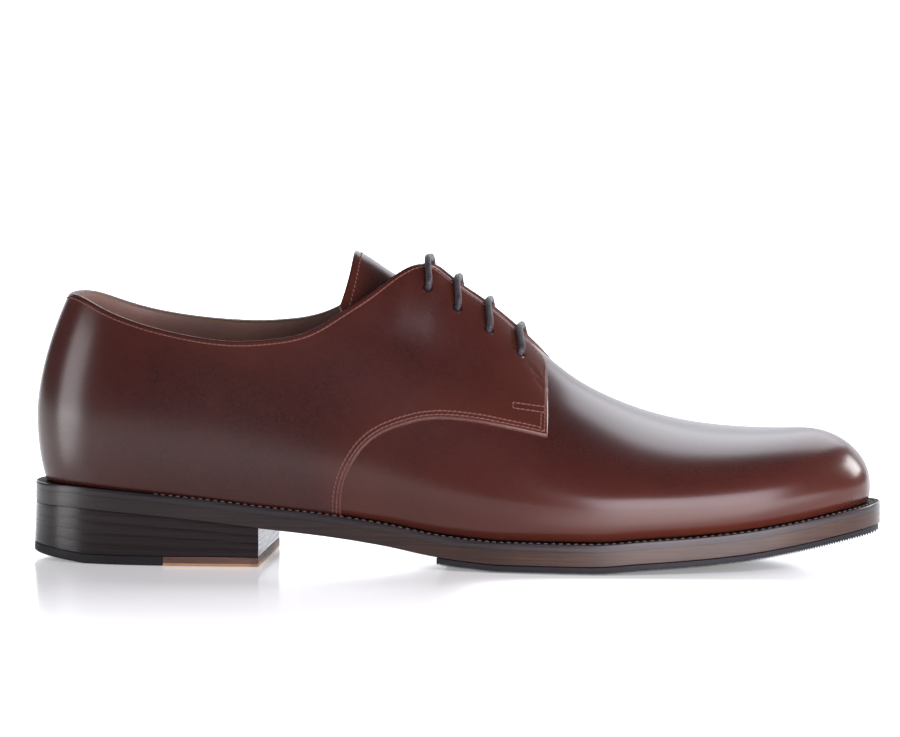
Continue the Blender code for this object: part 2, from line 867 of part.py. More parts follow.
def make_outsole(material, collection):
    edge = loop(sole_outline, count=2 * PLATE_STATIONS)
    top = -WELT_THICKNESS - GAP
    levels = [(edge, above_seat(top - OUTSOLE_THICKNESS)), (edge, above_seat(top))]
    return plate("outsole", levels, material, collection)


def make_rubber(material, collection):
    edge = loop(lambda turn: sole_outline(turn) - RUBBER_INSET, start=float(x_of(RUBBER_START)))
    foot = loop(lambda turn: sole_outline(turn) - 2 * RUBBER_INSET, start=float(x_of(RUBBER_START)))
    top = -WELT_THICKNESS - OUTSOLE_THICKNESS - 2 * GAP
    levels = [
        (foot, above_seat(top - RUBBER_THICKNESS)),
        (edge, above_seat(top - RUBBER_THICKNESS / 2)),
        (edge, above_seat(top)),
    ]
    return plate("forepart_rubber", levels, material, collection)


def heel_floor(x):
    """The heel's underside: flat, with its rear end worn up a little."""
    start = x_of(0) + HEEL_BEVEL_START
    past = np.clip((start - x) / HEEL_BEVEL_LENGTH, 0, 1)
    return HEEL_BEVEL * past


def heel_loop(flare, start=None, end=None, count=16):
    return loop(lambda turn: sole_outline(turn) + flare, start=start, end=end, count=count)


def make_heel(materials, collection):
    breast = float(x_of(HEEL_BREAST))
    joint = float(x_of(TOP_PIECE_JOINT))
    top = -WELT_THICKNESS - OUTSOLE_THICKNESS - 2 * GAP
    bottom = TOP_PIECE_THICKNESS + GAP
    levels = [
        (heel_loop(0.8 * HEEL_FLARE, end=breast), lambda x: heel_floor(x) + bottom),
        (heel_loop(0.0, end=breast), above_seat(top)),
    ]
    plate("heel", levels, materials["edge"], collection)
    lower = heel_loop(HEEL_FLARE, end=joint, count=12)
    upper = heel_loop(0.85 * HEEL_FLARE, end=joint, count=12)
    levels = [(lower, heel_floor), (upper, lambda x: heel_floor(x) + TOP_PIECE_THICKNESS)]
    plate("heel_rubber", levels, materials["rubber"], collection)
    lower = heel_loop(HEEL_FLARE, start=joint + GAP, end=breast, count=5)
    upper = heel_loop(0.85 * HEEL_FLARE, start=joint + GAP, end=breast, count=5)
    levels = [(lower, lambda x: 0.0), (upper, lambda x: TOP_PIECE_THICKNESS)]
    plate("heel_leather", levels, materials["natural"], collection)


def tongue_grid(rows, columns):
    """Turns and climbs of the tongue, from its root to its top, from side to side."""
    grid = np.empty((rows, columns, 2))
    for i, a in enumerate(np.linspace(0, 1, rows)):
        half = TONGUE_ROOT_HALF + (TONGUE_TOP_HALF - TONGUE_ROOT_HALF) * smooth(a)
        half *= math.sqrt(max(0.0, 1 - (max(0.0, a - 0.9) / 0.1) ** 2 * 0.35))
        for j, g in enumerate(np.linspace(-1, 1, columns)):
            top = x_of(TONGUE_TOP) - TONGUE_LEAN * g * g
            x = x_of(TONGUE_ROOT) + a * (top - x_of(TONGUE_ROOT))
            turn = float(turn_of(share_of(x)))
            real = turn if g < 0 else 2 * math.pi - turn
            grid[i, j] = (real, climb_from_ridge(np.array(real), abs(g) * half))
    return grid


def tongue_outer(turn, climb):
    """The tongue dips under the facings and comes back to the last at its top."""
    share = (1 - np.cos(turn)) / 2
    dip = smooth((THROAT - share) / 0.10) * smooth((share - TONGUE_TOP) / 0.06)
    return -1.2 * GAP - TONGUE_DIP * dip


def make_tongue(material, collection):
    grid = tongue_grid(20, 15)
    turn = grid[..., 0]
    climb = grid[..., 1]
    outer = off_last(turn, climb, tongue_outer(turn, climb))
    inner = off_last(turn, climb, tongue_outer(turn, climb) - TONGUE_WALL)
    points, faces = wall(outer, inner)
    return solid("tongue", points, faces, material, collection)


def eyelet(share, way, side):
    """Turn and climb of an eyelet."""
    turn = float(turn_of(share))
    real = turn if side < 0 else 2 * math.pi - turn
    return real, float(climb_from_ridge(np.array(real), way * BALL_WIDTH))


def cut_eyelets(target, helpers):
    """One drill per eyelet, square to the leather."""
    for number, (share, way) in enumerate(EYELETS, 1):
        for side in (LATERAL, MEDIAL):
            turn, climb = eyelet(share, way, side)
            centre = off_last(turn, climb, quarter_outer(turn, climb) - QUARTER_WALL / 2)
            normal = last_normal(turn, climb)
            bpy.ops.mesh.primitive_cylinder_add(vertices=14, radius=EYELET_RADIUS, depth=3 * QUARTER_WALL)
            drill = bpy.context.object
            drill.name = f"drill_{number}_{'lateral' if side < 0 else 'medial'}"
            for owner in list(drill.users_collection):
                owner.objects.unlink(drill)
            helpers.objects.link(drill)
            drill.location = centre
            drill.rotation_euler = Vector(normal).to_track_quat("Z", "Y").to_euler()
            helper(drill)
            cut = target.modifiers.new(drill.name, "BOOLEAN")
            cut.operation = "DIFFERENCE"
            cut.solver = "EXACT"
            cut.object = drill


def helper(shape):
    shape.hide_render = True
    shape.display_type = "WIRE"


def lace_path(share, reach):
    """The middle line of one bar, from one eyelet over the facings to the other."""
    edge_way = FACING_FROM_RIDGE + LACE_AT_EYELET
    ways = reach - np.array([0.0, 0.0, 0.10, 0.50, 1.0]) * (reach - edge_way)
    above = np.array([-LACE_IN_EYELET, LACE_AT_EYELET] + 3 * [LACE_OVER_FACING])
    half = []
    for side in (LATERAL, MEDIAL):
        lean = LACE_LEAN / LAST_LENGTH * (1 - ways / reach)
        line = []
        for way, rise, back in zip(ways, above, lean):
            turn = float(turn_of(share - back))
            real = turn if side < 0 else 2 * math.pi - turn
            climb = climb_from_ridge(np.array(real), way)
            line.append(off_last(real, climb, quarter_outer(real, climb) + rise))
        half.append(line)
    middle = (half[0][-1] + half[1][-1]) / 2 + np.array([0, 0, LACE_CROWN])
    return half[0] + [middle] + half[1][::-1]


def make_lace(name, share, reach, material, collection):
    """A tube along the bar, meshed from a bevelled curve with closed ends."""
    path = np.array(lace_path(share, reach))
    steps = np.linalg.norm(np.diff(path, axis=0), axis=1)
    arc = np.concatenate([[0], np.cumsum(steps)])
    fine = np.linspace(0, arc[-1], 30)
    points = np.stack([cubic(arc, path[:, k])(fine) for k in range(3)], 1)
    curve = bpy.data.curves.new(name, "CURVE")
    curve.dimensions = "3D"
    curve.bevel_depth = LACE_RADIUS
    curve.bevel_resolution = 2
    curve.use_fill_caps = True
    line = curve.splines.new("POLY")
    line.points.add(len(points) - 1)
    for point, place_at in zip(line.points, points):
        point.co = (*place_at, 1)
    guide = bpy.data.objects.new(name + "_guide", curve)
    collection.objects.link(guide)
    bpy.context.view_layer.update()
    graph = bpy.context.evaluated_depsgraph_get()
    mesh = bpy.data.meshes.new_from_object(guide.evaluated_get(graph))
    mesh.name = name
    form = bmesh.new()
    form.from_mesh(mesh)
    bmesh.ops.remove_doubles(form, verts=form.verts, dist=1e-6)
    bmesh.ops.recalc_face_normals(form, faces=form.faces)
    form.to_mesh(mesh)
    form.free()
    mesh.materials.clear()
    mesh.materials.append(material)
    shape = bpy.data.objects.new(name, mesh)
    shape.matrix_world = guide.matrix_world
    bpy.data.objects.remove(guide)
    collection.objects.link(shape)
    return shape


def clear():
    for shape in list(bpy.data.objects):
        bpy.data.objects.remove(shape)
    for collection in list(bpy.data.collections):
        bpy.data.collections.remove(collection)


def collection_named(name):
    collection = bpy.data.collections.new(name)
    bpy.context.scene.collection.children.link(collection)
    return collection


def centre_on_origin(shapes):
    """Hangs every piece on an empty that brings the middle of the whole shoe over the origin."""
    bpy.context.view_layer.update()
    graph = bpy.context.evaluated_depsgraph_get()
    points = []
    for shape in shapes:
        mesh = shape.evaluated_get(graph).data
        points += [shape.matrix_world @ vertex.co for vertex in mesh.vertices]
    points = np.array(points)
    middle = (points.min(0) + points.max(0)) / 2
    holder = bpy.data.objects.new("shoe_origin", None)
    shapes[0].users_collection[0].objects.link(holder)
    holder.location = (-middle[0], -middle[1], -points.min(0)[2])
    for shape in shapes:
        shape.parent = holder
    for shape in bpy.data.objects:
        if shape.hide_render:
            shape.parent = holder


def main():
    clear()
    shoe = collection_named("derby_shoe")
    helpers = collection_named("helpers")
    brown = paint("brown_calf", (0.115, 0.040, 0.017), 0.28)
    materials = {
        "edge": paint("edge_dressing", (0.040, 0.024, 0.018), 0.40),
        "rubber": paint("black_rubber", (0.018, 0.017, 0.017), 0.65),
        "natural": paint("natural_leather", (0.42, 0.20, 0.085), 0.55),
    }
    sole_brown = paint("sole_leather", (0.105, 0.060, 0.040), 0.50)
    welt_dark = paint("welt_leather", (0.052, 0.028, 0.019), 0.45)
    lining = paint("lining_leather", (0.26, 0.17, 0.085), 0.60)
    lace = paint("waxed_cord", (0.050, 0.032, 0.026), 0.55)
    upper = make_quarters("upper", brown, shoe)
    vamp = make_vamp(brown, helpers)
    helper(vamp)
    join = upper.modifiers.new("vamp", "BOOLEAN")
    join.operation = "UNION"
    join.solver = "EXACT"
    join.object = vamp
    cut_eyelets(upper, helpers)
    upper.modifiers.new("triangles", "TRIANGULATE")
    make_tongue(brown, shoe)
    make_insole(lining, shoe)
    make_welt(welt_dark, shoe)
    make_outsole(sole_brown, shoe)
    make_rubber(materials["rubber"], shoe)
    make_heel(materials, shoe)
    for number, (share, way) in enumerate(EYELETS, 1):
        make_lace(f"lace_bar_{number}", share, way * BALL_WIDTH, lace, shoe)
    centre_on_origin([shape for shape in shoe.objects])


main()
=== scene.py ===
"""The looks of a plain-toe derby shoe for the right foot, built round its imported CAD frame."""

import math

import bmesh
import bpy
import numpy as np
from mathutils import Matrix, Vector


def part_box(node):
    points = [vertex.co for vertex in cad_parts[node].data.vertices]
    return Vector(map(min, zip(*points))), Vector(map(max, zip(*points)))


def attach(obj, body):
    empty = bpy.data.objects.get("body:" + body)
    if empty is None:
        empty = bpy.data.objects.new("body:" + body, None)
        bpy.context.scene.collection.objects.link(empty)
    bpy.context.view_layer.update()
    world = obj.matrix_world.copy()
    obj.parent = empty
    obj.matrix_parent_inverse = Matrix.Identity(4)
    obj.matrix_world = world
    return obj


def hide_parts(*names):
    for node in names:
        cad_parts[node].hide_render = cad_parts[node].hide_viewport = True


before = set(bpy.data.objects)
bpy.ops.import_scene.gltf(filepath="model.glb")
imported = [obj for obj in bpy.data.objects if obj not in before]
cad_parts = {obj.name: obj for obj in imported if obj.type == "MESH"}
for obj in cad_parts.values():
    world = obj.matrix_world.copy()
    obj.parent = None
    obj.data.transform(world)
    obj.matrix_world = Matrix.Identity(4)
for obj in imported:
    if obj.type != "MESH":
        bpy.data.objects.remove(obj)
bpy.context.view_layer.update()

MM = 0.001
LATERAL = -1
MEDIAL = 1
BOTH_SIDES = (LATERAL, MEDIAL)
FULL_TURN = 2 * math.pi

# Driving dimensions
LAST_LENGTH = 291.4 * MM
BALL_WIDTH = 89.0 * MM
INSTEP_HEIGHT = 95.0 * MM
COLLAR_HEIGHT = 94.5 * MM
HEEL_RISE = 16.9 * MM
TOE_SPRING = 10.9 * MM
HEEL_FOCUS = 43.0 * MM
TOE_FOCUS = 22.0 * MM

# Walls and layers
GAP = 0.3 * MM
VAMP_WALL = 2.0 * MM
QUARTER_BASE = 0.6 * MM
QUARTER_WALL = 2.6 * MM
FACING_LIFT = 7.2 * MM
TONGUE_WALL = 2.0 * MM
INSOLE_THICKNESS = 3.0 * MM
WELT_THICKNESS = 2.7 * MM
WELT_SEAT = 7.0 * MM
OUTSOLE_THICKNESS = 4.8 * MM
RUBBER_THICKNESS = 2.6 * MM
TOP_PIECE_THICKNESS = 3.2 * MM
HEEL_FLARE = 0.6 * MM
HEEL_BEVEL = 2.2 * MM
HEEL_BEVEL_LENGTH = 20.0 * MM
HEEL_BEVEL_START = 14.0 * MM
LACE_LEAN = 4.5 * MM
TONGUE_DIP = 2.8 * MM
RUBBER_INSET = 0.6 * MM
# Extra height by which neighbouring layers of the bottom close up
LAYER_OVERLAP = 0.25 * MM

# Places along the shoe, as shares of the last's length from the heel
HEEL_FAN_START = 0.332
TOE_FAN_START = 0.796
TREAD_START = 0.569
TREAD_END = 0.679
RUBBER_START = 0.488
HEEL_BREAST = 0.267
TOP_PIECE_JOINT = 0.148
SEAM_FOOT = 0.369
THROAT = 0.588
COLLAR_BAND_END = 0.425
WELT_STITCH_START = 0.134

# Tongue and lacing
TONGUE_TOP = 0.376
TONGUE_ROOT = 0.636
TONGUE_LEAN = 4.0 * MM
TONGUE_TOP_HALF = 37.0 * MM
TONGUE_ROOT_HALF = 19.0 * MM
FACING_FROM_RIDGE = 7.0 * MM
EYELET_RADIUS = 1.75 * MM
LACE_RADIUS = 1.15 * MM
LACE_OVER_FACING = 1.5 * MM
LACE_IN_EYELET = 1.4 * MM
LACE_AT_EYELET = 0.6 * MM
LACE_CROWN = 0.1 * MM
LACE_UNDER_FACING = 1.6 * MM
LACE_SIDES = 16
LACE_STEP = 0.45 * MM
BRAID = 5200.0
BRAID_DEPTH = 0.045

# Thread and edges
STITCH_PITCH = 1.8 * MM
STITCH_RADIUS = 0.24 * MM
STITCH_LENGTH = 0.86
STITCH_RISE = 0.05 * MM
EDGE_ROUND = 0.35 * MM
RIBBON_RISE = 0.03 * MM
RIBBON_WIDTH = 0.75 * MM
TONGUE_RIBBON_WIDTH = 0.7 * MM
TONGUE_EDGE_ROUND = 0.3 * MM
BACK_GROOVE_DEPTH = 0.35 * MM
BACK_GROOVE_WIDTH = 0.9 * MM
WELT_STITCH_PITCH = 2.7 * MM
WELT_STITCH_LENGTH = 2.0 * MM
WELT_STITCH_RADIUS = 0.42 * MM
WELT_STITCH_OUT = 0.70
HEEL_HOLLOW = 1.2 * MM

# Numbers of stations
PLATE_STATIONS = 26
ARC_SAMPLES = 33
QUARTER_ROWS = 72
QUARTER_COLUMNS = 190
VAMP_ROWS = 96
VAMP_COLUMNS = 200
TONGUE_ROWS = 70
TONGUE_COLUMNS = 61
WELT_STATIONS = 400
OUTSOLE_STATIONS = 240
HALF_SOLE_STATIONS = 1100
HEEL_STATIONS = 150
TOP_PIECE_STATIONS = 90
SOCK_STATIONS = 160
TOPLINE_SAMPLES = 420

# Shape of the ribs under their widest line: share of the curve's own parameter, share of the bulge
# reached at the foot, shares of the height held at the foot and at the widest line
RIB_WAIST = 0.25
FOOT_OUT = 0.55
FOOT_UP = 0.25
WIDEST_UP = 0.40

# Facings: way down from the ridge that stands off in full and way over which that fades, as shares of
# the ball width; share of the quarter's columns that lie along the feather line
LIFT_WHOLE = 0.08
LIFT_FADE = 0.36
QUARTER_CORNER = 0.52
# Tongue's dip: shares of the length over which it starts at the throat and ends at the top
DIP_AT_THROAT = 0.10
DIP_AT_TOP = 0.06

# Climb under which the way out of the last turns level, and under which the vamp stands up a little
LEVEL_CLIMB = 0.12
VAMP_FOOT_CLIMB = 0.1
VAMP_FOOT_RISE = 0.1 * MM

# Feather line: share of length, lateral and medial distance from the axis as shares of the ball
FEATHER = (
    (0.0, 0.0, 0.0), (0.01, 0.127, 0.126), (0.04, 0.23, 0.236), (0.1, 0.304, 0.309),
    (0.18, 0.327, 0.327), (0.26, 0.331, 0.31), (0.34, 0.347, 0.284), (0.42, 0.375, 0.266),
    (0.5, 0.419, 0.291), (0.58, 0.473, 0.371), (0.65, 0.504, 0.443), (0.72, 0.509, 0.495),
    (0.79, 0.472, 0.503), (0.86, 0.398, 0.46), (0.92, 0.29, 0.376), (0.96, 0.187, 0.297),
    (0.99, 0.066, 0.194), (1.0, -0.067, 0.067),
)

# Sole edge: share of length, lateral and medial distance out from the feather line as shares of
# the ball width
SOLE_EDGE = (
    (0.0, 0.078, 0.078), (0.1, 0.063, 0.063), (0.25, 0.058, 0.056), (0.4, 0.056, 0.047),
    (0.5, 0.063, 0.056), (0.65, 0.073, 0.071), (0.85, 0.074, 0.074), (1.0, 0.075, 0.075),
)

# Rise of the seat under the heel: share of length, share of the heel rise
HEEL_PITCH = (
    (-0.03, 1.0), (0.016, 1.0), (0.098, 0.929), (0.181, 0.805), (0.263, 0.645), (0.363, 0.462),
    (0.421, 0.32), (0.489, 0.112), (0.534, 0.034), (TREAD_START, 0.0),
)

# Rise of the toe: share of length, share of the toe spring
TOE_PITCH = (
    (TREAD_END, 0.0), (0.741, 0.115), (0.806, 0.225), (0.861, 0.35), (0.906, 0.505), (0.951, 0.695),
    (0.98, 0.835), (1.002, 0.93), (1.023, 1.0),
)

# Ridge of the last: share of length, share of the instep height
RIDGE = (
    (0.14, 1.37), (0.25, 1.3), (0.34, 1.215), (0.395, 1.15), (0.45, 1.078), (0.5, 0.998), (0.55, 0.895),
    (0.6, 0.768), (0.64, 0.67), (0.68, 0.601), (0.72, 0.551), (0.76, 0.516), (0.8, 0.494),
    (0.84, 0.482), (0.88, 0.478), (0.925, 0.481),
)

# Ridge off the axis: share of length, share of the ball width
RIDGE_SWING = (
    (0.14, 0.0), (0.3, 0.0), (0.45, 0.01), (0.6, 0.045), (0.75, 0.085), (0.925, 0.09),
)

# Widest line of the ribs: share of length, bulge beyond the feather line as a share of the ball
# width and climb above it as a share of the rib's height, each lateral then medial
GIRTH = (
    (0.0, 0.036, 0.036, 0.23, 0.23), (0.06, 0.034, 0.034, 0.23, 0.23), (0.18, 0.03, 0.03, 0.22, 0.22),
    (0.3, 0.036, 0.036, 0.2, 0.21), (0.42, 0.046, 0.056, 0.19, 0.22), (0.52, 0.05, 0.06, 0.19, 0.24),
    (0.62, 0.05, 0.05, 0.23, 0.27), (0.72, 0.046, 0.04, 0.29, 0.31), (0.82, 0.036, 0.032, 0.31, 0.32),
    (0.92, 0.026, 0.024, 0.3, 0.3), (1.0, 0.013, 0.013, 0.26, 0.26),
)

# Fullness of the ribs above the widest line: share of length, side then top, each lateral then
# medial
FULLNESS = (
    (0.0, 0.35, 0.35, 0.47, 0.47), (0.12, 0.38, 0.38, 0.47, 0.47), (0.3, 0.4, 0.42, 0.44, 0.46),
    (0.42, 0.36, 0.42, 0.4, 0.44), (0.52, 0.33, 0.42, 0.38, 0.43), (0.62, 0.33, 0.44, 0.4, 0.45),
    (0.72, 0.38, 0.48, 0.47, 0.5), (0.82, 0.46, 0.52, 0.56, 0.56), (0.92, 0.52, 0.54, 0.6, 0.6),
    (1.0, 0.54, 0.54, 0.56, 0.56),
)

# Topline: share of length, lateral and medial height as shares of the collar height
TOPLINE = (
    (0.045, 0.997, 0.998), (0.068, 0.966, 0.97), (0.118, 0.912, 0.922), (0.18, 0.868, 0.893),
    (0.235, 0.849, 0.884), (0.284, 0.857, 0.892), (0.328, 0.888, 0.921), (0.366, 0.957, 0.98),
    (0.395, 1.015, 1.03),
)

# Facing edge from its top corner forward: share of length, way down from the ridge as a share of
# the ball width
FACING = (
    (0.433, 0.134), (0.443, 0.106), (0.452, 0.09), (0.464, 0.084), (0.48, 0.084), (0.51, 0.08),
    (0.56, 0.079), (0.584, 0.08), (0.596, 0.087), (0.604, 0.099),
)

# How far the facings stand off over the tongue: share of length, share of the facing lift
STAND_OFF = (
    (0.33, 0.0), (0.4, 0.48), (0.437, 0.95), (0.46, 0.99), (0.48, 0.77), (0.5, 0.54), (0.533, 0.36),
    (0.56, 0.22), (0.588, 0.09), (0.612, 0.0),
)

# Eyelets: share of length, way down from the ridge as a share of the ball width
EYELETS = (
    (0.461, 0.172), (0.498, 0.18), (0.537, 0.195), (0.576, 0.197),
)

# Seam of the quarter over the vamp, up from its foot: share of length, height as a share of the
# collar height
SEAM = (
    (0.3687, 0.268), (0.3725, 0.325), (0.3825, 0.397), (0.398, 0.465), (0.42, 0.517), (0.445, 0.548),
    (0.475, 0.57), (0.5055, 0.572), (0.5425, 0.56), (0.585, 0.536), (0.622, 0.512),
)

# Front edge of the quarter, up from the seam: share of length, height as a share of the collar
# height
FRONT_EDGE = (
    (0.6217, 0.56), (0.6203, 0.622), (0.6187, 0.675), (0.6172, 0.711), (0.6157, 0.742),
)

# Hidden rear edge of the vamp, up from its foot: share of length, climb
VAMP_EDGE = (
    (0.34, 0.0), (0.345, 0.15), (0.375, 0.33), (0.43, 0.48), (0.5, 0.585), (0.56, 0.68), (0.584, 0.78),
    (0.588, 0.88), (0.588, 1.0),
)

# Bar stitch beside the front edge, round its corners: share of length, height in mm
BAR_STITCH = ((0.6185, 57.4), (0.6, 58.3), (0.579, 59.3), (0.579, 57.5), (0.6, 56.5), (0.6185, 55.6))

# Soft creases beside the lowest eyelet: share of length, way down from the ridge in mm, direction in
# degrees, length, width and depth in mm
SOFT_CREASES = (
    (0.604, 25.0, 60.0, 9.0, 1.6, 0.32),
    (0.598, 21.0, 48.0, 8.0, 1.5, 0.30),
    (0.607, 18.0, 75.0, 7.0, 1.3, 0.22),
)

# Rows of stitches on a quarter: its line, points along it, way to the left of it, lengths left free at
# its start and at its end (all in mm; the short row ends at SHORT_ROW instead), slant
STITCH_ROWS = (
    ("top", TOPLINE_SAMPLES, -1.6, 0.5, 1.0, 0.18),
    ("seam", 260, 1.25, 0.6, 0.9, 0.30),
    ("seam", 260, 2.65, 0.6, 2.4, 0.30),
    ("edge", 120, 1.25, 1.2, 0.6, 0.20),
    ("edge", 120, 2.55, 1.8, None, 0.20),
)
SHORT_ROW = 9.5

# Redder zones along a quarter's lines: reach in mm, strength
QUARTER_WARMTH = {"top": (13.0, 0.55), "seam": (15.0, 0.65), "edge": (15.0, 0.6)}

# Stitch from end to end: share of its length, share of its radius
STITCH_SHAPE = (
    (-0.5, 0.0), (-0.44, 0.6), (-0.28, 0.95), (0.0, 1.0), (0.28, 0.95), (0.44, 0.6), (0.5, 0.0)
)
STITCH_SIDES = 8

# Collar band across: way down from the topline, way in from the quarter's inner face, in mm
COLLAR_BAND = ((0.5, 0.0), (1.0, 0.35), (4.0, 0.42), (8.0, 0.42), (8.8, 0.0))
COLLAR_STITCH = (7.2, 0.5)

# Heel's lifts: places in each as shares of its height, depth of the groove there in mm
HEEL_LIFTS = 4
LIFT_EDGE = ((0.0, 0.02), (0.06, 0.0), (0.94, 0.0), (1.0, 0.02))
# Top piece: height, way out, in mm
TOP_PIECE_EDGE = ((0.0, -0.30), (0.25, -0.05), (0.6, 0.0), (2.9, 0.0), (3.2, -0.12))

# Half sole's tread
RIB_PITCH = 0.87 * MM
RIB_DEPTH = 0.75 * MM

# Studio
CAMERA_AWAY = 2.5
CAMERA_HEIGHT = 0.279
CAMERA_TURN = 5.0
AIM_HEIGHT = 0.070
MM_PER_PIXEL = 0.36
IMAGE_WIDTH = 900
IMAGE_HEIGHT = 737
AIM_PIXEL = (456.5, 364.4)
SENSOR = 36.0
FLOOR_HALF = 16.0
FLOOR_CELLS = 8


# ---------------------------------------------------------------- curves
def cubic(knots, values, period=None):
    """A smooth curve through the values, closed if it has a period."""
    x = np.array(knots, float)
    y = np.array(values, float)
    if period:
        x = np.append(x, x[0] + period)
        y = np.append(y, y[0])
    h = np.diff(x)
    slope = np.diff(y) / h
    n = len(x)
    matrix = np.eye(n)
    right = np.zeros(n)
    for i in range(1, n - 1):
        matrix[i, i - 1 : i + 2] = (h[i - 1], 2 * (h[i - 1] + h[i]), h[i])
        right[i] = 6 * (slope[i] - slope[i - 1])
    if period:
        matrix[0, -1] = -1
        matrix[-1, :2] = (2 * h[0], h[0])
        matrix[-1, -2:] = (h[-1], 2 * h[-1])
        right[-1] = 6 * (slope[0] - slope[-1])
    bend = np.linalg.solve(matrix, right)

    def value(at):
        at = np.asarray(at, float)
        at = x[0] + np.mod(at - x[0], period) if period else np.clip(at, x[0], x[-1])
        i = np.clip(np.searchsorted(x, at, "right") - 1, 0, n - 2)
        d = at - x[i]
        first = slope[i] - h[i] * (2 * bend[i] + bend[i + 1]) / 6
        return y[i] + d * (first + d * (bend[i] / 2 + d * (bend[i + 1] - bend[i]) / (6 * h[i])))

    return value


def monotone(knots, values):
    """A curve through the values that never swings past them."""
    x = np.array(knots, float)
    y = np.array(values, float)
    h = np.diff(x)
    slope = np.diff(y) / h
    tangent = np.zeros(len(x))
    for i in range(1, len(x) - 1):
        if slope[i - 1] * slope[i] > 0:
            a = 2 * h[i] + h[i - 1]
            b = h[i] + 2 * h[i - 1]
            tangent[i] = (a + b) / (a / slope[i - 1] + b / slope[i])

    def value(at):
        at = np.clip(np.asarray(at, float), x[0], x[-1])
        i = np.clip(np.searchsorted(x, at, "right") - 1, 0, len(x) - 2)
        u = (at - x[i]) / h[i]
        start = (1 + 2 * u) * (1 - u) ** 2 * y[i] + u * (1 - u) ** 2 * h[i] * tangent[i]
        return start + u * u * (3 - 2 * u) * y[i + 1] + u * u * (u - 1) * h[i] * tangent[i + 1]

    return value


def smooth(value):
    """0 below 0, 1 above 1 and an even blend between."""
    value = np.clip(value, 0, 1)
    return value * value * (3 - 2 * value)


def unit(vectors):
    return vectors / np.linalg.norm(vectors, axis=-1)[..., None]


def along(points):
    """Length up to each point of a line."""
    return np.concatenate([[0], np.cumsum(np.linalg.norm(np.diff(points, axis=0), axis=1))])


def at_lengths(goal, arc, points):
    return np.stack([np.interp(goal, arc, values) for values in points.T], 1)


def even(path, count):
    """The path's (turn, climb) points again at even steps."""
    path = np.array(path)
    scale = np.array([1.0, 0.55])
    arc = along(path * scale)
    arc /= arc[-1]
    fine = np.linspace(0, 1, 400)
    dense = np.stack([cubic(arc, path[:, k])(fine) for k in range(2)], 1)
    length = along(dense * scale)
    return at_lengths(np.linspace(0, length[-1], count), length, dense)


def turn_of(share):
    """Turn round the last, from the heel over the lateral side, at a share of the length."""
    return np.arccos(np.clip(1 - 2 * np.asarray(share, float), -1, 1))


def share_at(turn):
    return (1 - np.cos(turn)) / 2


def real(turn, side):
    """Turn on the side itself from one counted on the lateral side."""
    return turn if side < 0 else FULL_TURN - turn


def column(table, index):
    return [row[index] for row in table]


def round_the_last(table, lateral, medial, sign=1):
    """A closed curve over the turn from one column for each side; the sign is the lateral side's."""
    rows = table[1:-1]
    turns = [float(turn_of(row[0])) for row in rows]
    knots = [0.0] + turns + [math.pi] + [FULL_TURN - turn for turn in turns[::-1]]
    values = [sign * row[lateral] for row in table] + [row[medial] for row in rows[::-1]]
    return cubic(knots, values, FULL_TURN)


feather_y = round_the_last(FEATHER, 1, 2, -1)
sole_edge = round_the_last(SOLE_EDGE, 1, 2)
bulge = round_the_last(GIRTH, 1, 2)
widest = round_the_last(GIRTH, 3, 4)
side_fullness = round_the_last(FULLNESS, 1, 2)
top_fullness = round_the_last(FULLNESS, 3, 4)
ridge_height = cubic(*zip(*RIDGE))
ridge_swing = cubic(*zip(*RIDGE_SWING))
heel_pitch = monotone(*zip(*HEEL_PITCH))
toe_pitch = monotone(*zip(*TOE_PITCH))
stand_off = monotone(*zip(*STAND_OFF))

# Height of the welt's top over the floor at the ball
STACK = RUBBER_THICKNESS + OUTSOLE_THICKNESS + WELT_THICKNESS + 2 * GAP


# ---------------------------------------------------------------- the last
def x_of(share):
    """X of a share of the length; the origin is halfway."""
    return (np.asarray(share, float) - 0.5) * LAST_LENGTH


def share_of(x):
    return np.asarray(x, float) / LAST_LENGTH + 0.5


def seat(x):
    """Height of the welt's top at this X."""
    share = share_of(x)
    return STACK + HEEL_RISE * heel_pitch(share) + TOE_SPRING * toe_pitch(share)


def ridge_x(x):
    """X of a rib's upper end for a rib with its foot at this X: the ribs fan out at both ends."""
    toe = x_of(TOE_FAN_START)
    heel = x_of(HEEL_FAN_START)
    past_toe = np.clip((x - toe) / (x_of(1) - toe), 0, 1)
    past_heel = np.clip((heel - x) / (heel - x_of(0)), 0, 1)
    return x - TOE_FOCUS * past_toe**2 + HEEL_FOCUS * past_heel**2


def rib_frame(turn):
    """Foot, ridge end, direction and reach of the ribs at these turns."""
    x = x_of(share_at(turn))
    foot = np.stack([x, BALL_WIDTH * feather_y(turn), seat(x)], -1)
    top_x = ridge_x(x)
    share = share_of(top_x)
    top = np.stack([top_x, BALL_WIDTH * ridge_swing(share), INSTEP_HEIGHT * ridge_height(share)], -1)
    way = foot[..., :2] - top[..., :2]
    return foot, top, unit(way), np.linalg.norm(way, axis=-1)


def bezier(u, a, b, c, d):
    v = 1 - u
    return v**3 * a + 3 * v * v * u * b + 3 * v * u * u * c + u**3 * d


